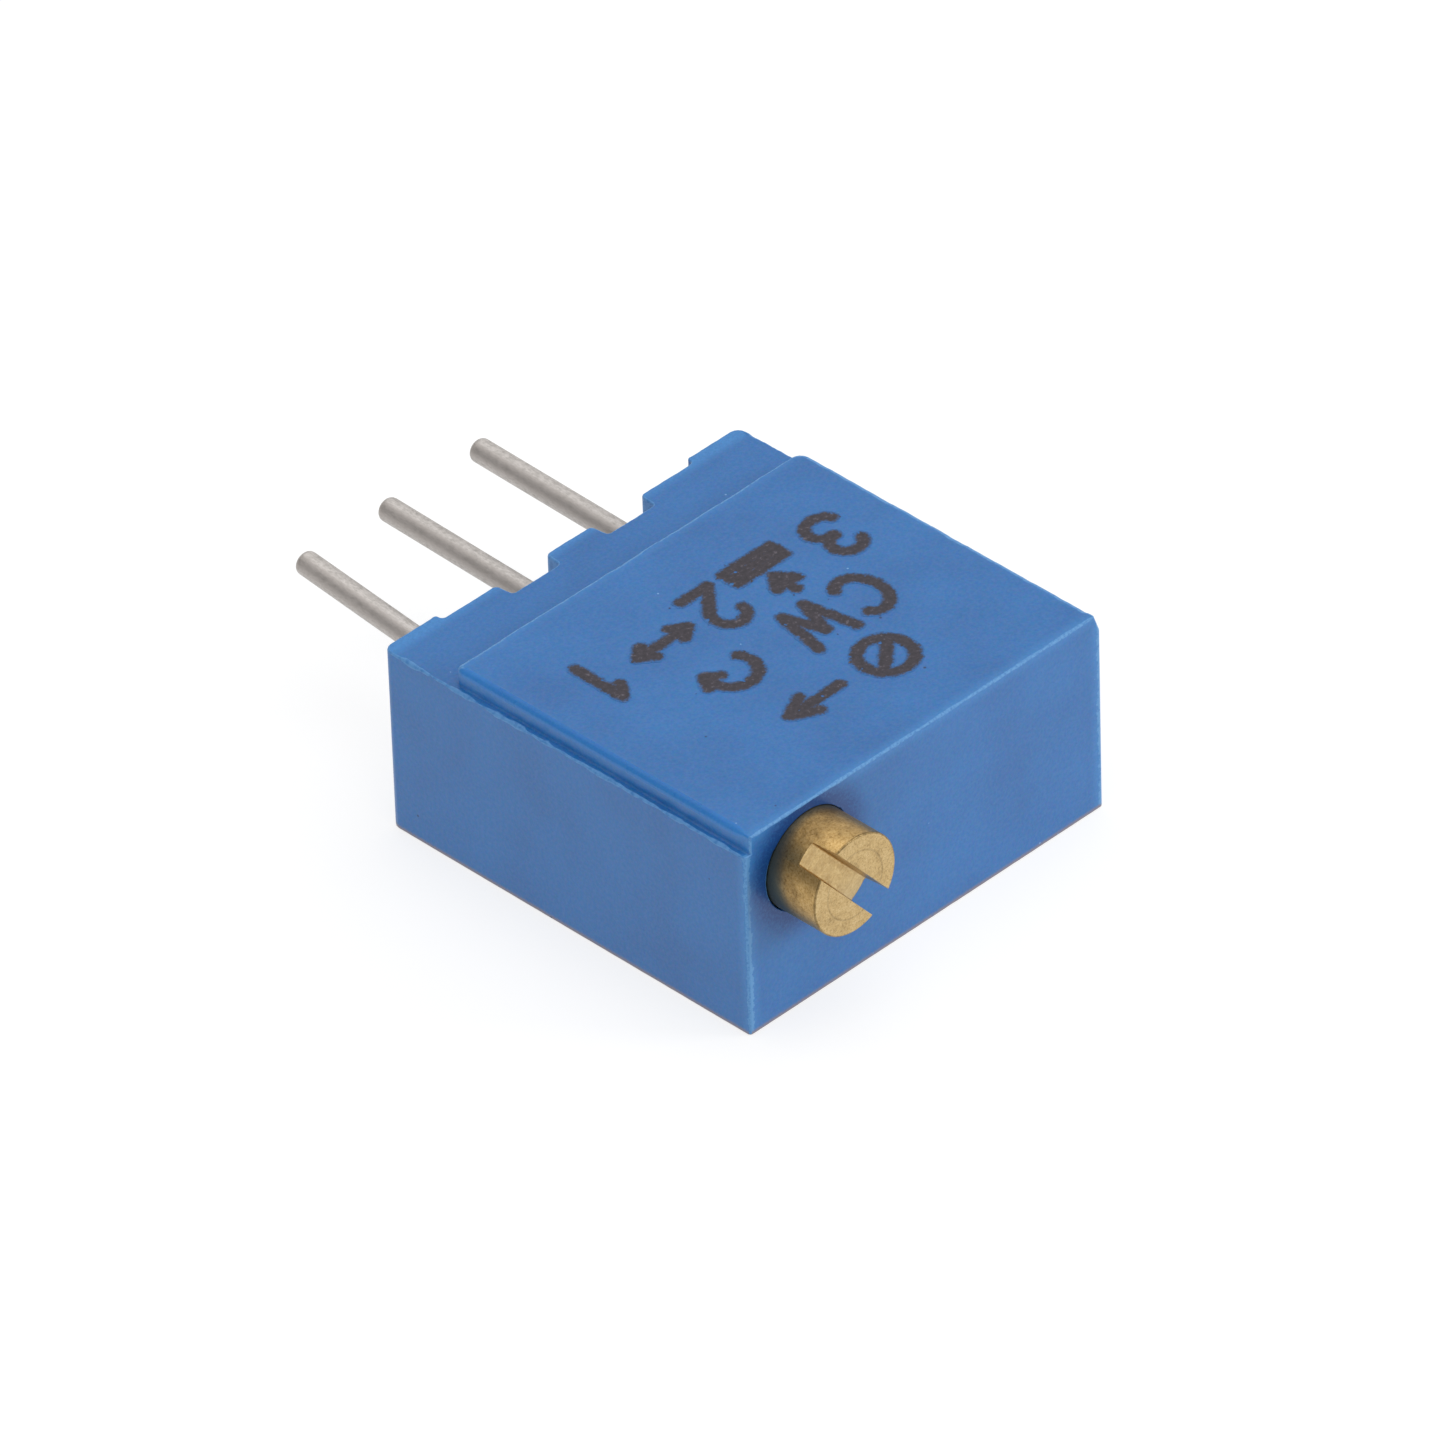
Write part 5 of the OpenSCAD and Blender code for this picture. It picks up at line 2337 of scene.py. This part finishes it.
@dataclass(frozen=True)
class Flag:
    """A curved grey wall round the part that only reflections see. Directions are in degrees
    from +X, sizes in metres, and a grey of one is white."""

    name: str
    first: float
    last: float
    low: float
    high: float
    grey: float
    radius: float = 0.7
    step: float = 5.0

    def stand(self) -> None:
        """Stand the flag."""
        bm = bmesh.new()
        count = round((self.last - self.first) / self.step)
        turns = (
            math.radians(self.first + (self.last - self.first) * k / count)
            for k in range(count + 1)
        )
        rims = [
            [
                bm.verts.new((self.radius * math.cos(t), self.radius * math.sin(t), z))
                for z in (self.low, self.high)
            ]
            for t in turns
        ]
        for a, b in zip(rims, rims[1:]):
            bm.faces.new((a[0], b[0], b[1], a[1]))
        flag = mesh_object(self.name, bm)
        flag.visible_camera = False
        flag.visible_diffuse = False
        flag.visible_shadow = False
        felt = bpy.data.materials.new(self.name)
        tree = empty_tree(felt)
        shade = add_node(tree, "Emission", inputs={"Color": WHITE, "Strength": self.grey})
        add_node(tree, "OutputMaterial", inputs={"Surface": shade.outputs["Emission"]})
        flag.data.materials.append(felt)


@dataclass
class Studio:
    """A white floor, a soft white sky, two soft lamps and two flags. Sizes are in metres."""

    floor_r: float = 2.0
    floor_z: float = -0.00001
    floor_sides: int = 96
    floor_colour: str = "#a9a9a9"
    glow: float = 0.52
    glow_seen: float = 0.7
    sky: float = 0.58
    sky_seen: float = 1.0
    lamps: tuple[Lamp, ...] = (
        Lamp("key_lamp", 1.0, 0.5, (0.05, -0.05, 0.55)),
        Lamp("fill_lamp", 0.85, 0.2, (0.4, -0.4, 0.2)),
    )
    flags: tuple[Flag, ...] = (
        Flag("black_flags", 0.0, 360.0, 0.0, 0.12, 0.2),
        Flag("side_flag", 100.0, 180.0, 0.1, 0.75, 0.3),
    )

    def build(self) -> None:
        """Set the floor, the sky, the flags and the lamps."""
        self.lay_floor()
        self.light_sky()
        for flag in self.flags:
            flag.stand()
        for lamp in self.lamps:
            lamp.hang()
        bpy.context.scene.view_settings.view_transform = "Standard"
        LOG.info("studio: floor, sky, %d flags and %d lamps", len(self.flags), len(self.lamps))

    def seen_directly(self, tree: Tree) -> Socket:
        """Tell apart the rays that see a surface, straight or in a reflection.

        Args:
            tree: the floor's or the world's node tree.

        Returns:
            One for a camera, glossy or transmission ray, and nought for the rest.
        """
        path = add_node(tree, "LightPath")
        glossy = add_node(
            tree,
            "Math",
            {"operation": "MAXIMUM"},
            {0: path.outputs["Is Camera Ray"], 1: path.outputs["Is Glossy Ray"]},
        )
        seen = add_node(
            tree,
            "Math",
            {"operation": "MAXIMUM"},
            {0: glossy.outputs["Value"], 1: path.outputs["Is Transmission Ray"]},
        )
        return seen.outputs["Value"]

    def lay_floor(self) -> None:
        """Lay a round white floor that keeps the part's shadow."""
        bm = bmesh.new()
        bmesh.ops.create_circle(bm, cap_ends=True, radius=self.floor_r, segments=self.floor_sides)
        bmesh.ops.translate(bm, vec=(0, 0, self.floor_z), verts=bm.verts)
        floor = mesh_object("floor", bm)
        paper = bpy.data.materials.new("white_paper")
        tree = empty_tree(paper)
        matt = add_node(tree, "BsdfDiffuse", inputs={"Color": linear(self.floor_colour)})
        seen = add_node(
            tree,
            "MapRange",
            inputs={
                "Value": self.seen_directly(tree),
                "To Min": self.glow,
                "To Max": self.glow_seen,
            },
        )
        glow = add_node(
            tree,
            "Emission",
            inputs={"Color": WHITE, "Strength": seen.outputs["Result"]},
        )
        lit = add_node(
            tree, "AddShader", inputs={0: matt.outputs["BSDF"], 1: glow.outputs["Emission"]}
        )
        add_node(tree, "OutputMaterial", inputs={"Surface": lit.outputs["Shader"]})
        floor.data.materials.append(paper)

    def light_sky(self) -> None:
        """Surround the part with a soft white sky."""
        world = bpy.data.worlds.new("soft_white_sky")
        bpy.context.scene.world = world
        tree = empty_tree(world)
        dim, white = (
            add_node(tree, "Background", inputs={"Color": WHITE, "Strength": strength})
            for strength in (self.sky, self.sky_seen)
        )
        mixed = add_node(
            tree,
            "MixShader",
            inputs={
                0: self.seen_directly(tree),
                1: dim.outputs["Background"],
                2: white.outputs["Background"],
            },
        )
        add_node(tree, "OutputWorld", inputs={"Surface": mixed.outputs["Shader"]})


@dataclass
class ViewCamera:
    """A long lens that looks down on the screw face and the left side. Lengths are in mm,
    turns in degrees, and the clipping distances in metres."""

    lens: float = 389.96
    sensor: float = 36.0
    azimuth: float = -44.329
    elevation: float = 37.322
    roll: float = -1.891
    distance: float = 296.51
    clip_near: float = 0.01
    clip_far: float = 10.0
    target: tuple[float, float, float] = (-0.52, -0.094, 2.404)

    def build(self) -> None:
        """Set the camera up and make it the scene's own."""
        az, el, roll = (math.radians(a) for a in (self.azimuth, self.elevation, self.roll))
        back = Vector(
            (math.sin(az) * math.cos(el), -math.cos(az) * math.cos(el), math.sin(el))
        )
        right = Vector((math.cos(az), math.sin(az), 0))
        up = back.cross(right)
        turned_right = right * math.cos(roll) + up * math.sin(roll)
        turned_up = up * math.cos(roll) - right * math.sin(roll)
        data = bpy.data.cameras.new("view_camera")
        data.lens = self.lens
        data.sensor_width = self.sensor
        data.sensor_fit = "HORIZONTAL"
        data.clip_start = self.clip_near
        data.clip_end = self.clip_far
        camera = add_object("view_camera", data)
        place = (Vector(self.target) + back * self.distance) * MM
        turn = Matrix((turned_right, turned_up, back)).transposed().to_4x4()
        camera.matrix_world = Matrix.Translation(place) @ turn
        bpy.context.scene.camera = camera
        LOG.info("camera: %.0f mm lens", self.lens)


def main() -> None:
    """Build every piece in order."""
    logging.basicConfig(level=logging.INFO, format="%(message)s")
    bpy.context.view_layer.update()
    ViewCamera().build()
    Studio().build()
    Case().build()
    PanelMarking().build()
    AdjustingScrew().build()
    for terminal in (
        Terminal(1, lift=0.47, lean=0.03, tip_y=9.33),
        Terminal(2, lift=0.13, lean=0.02, tip_y=9.66),
        Terminal(3, lift=0.14, lean=0.0, tip_y=9.72),
    ):
        terminal.build()
    InnerWorks().dress()
    bpy.context.view_layer.update()


if __name__ == "__main__":
    main()
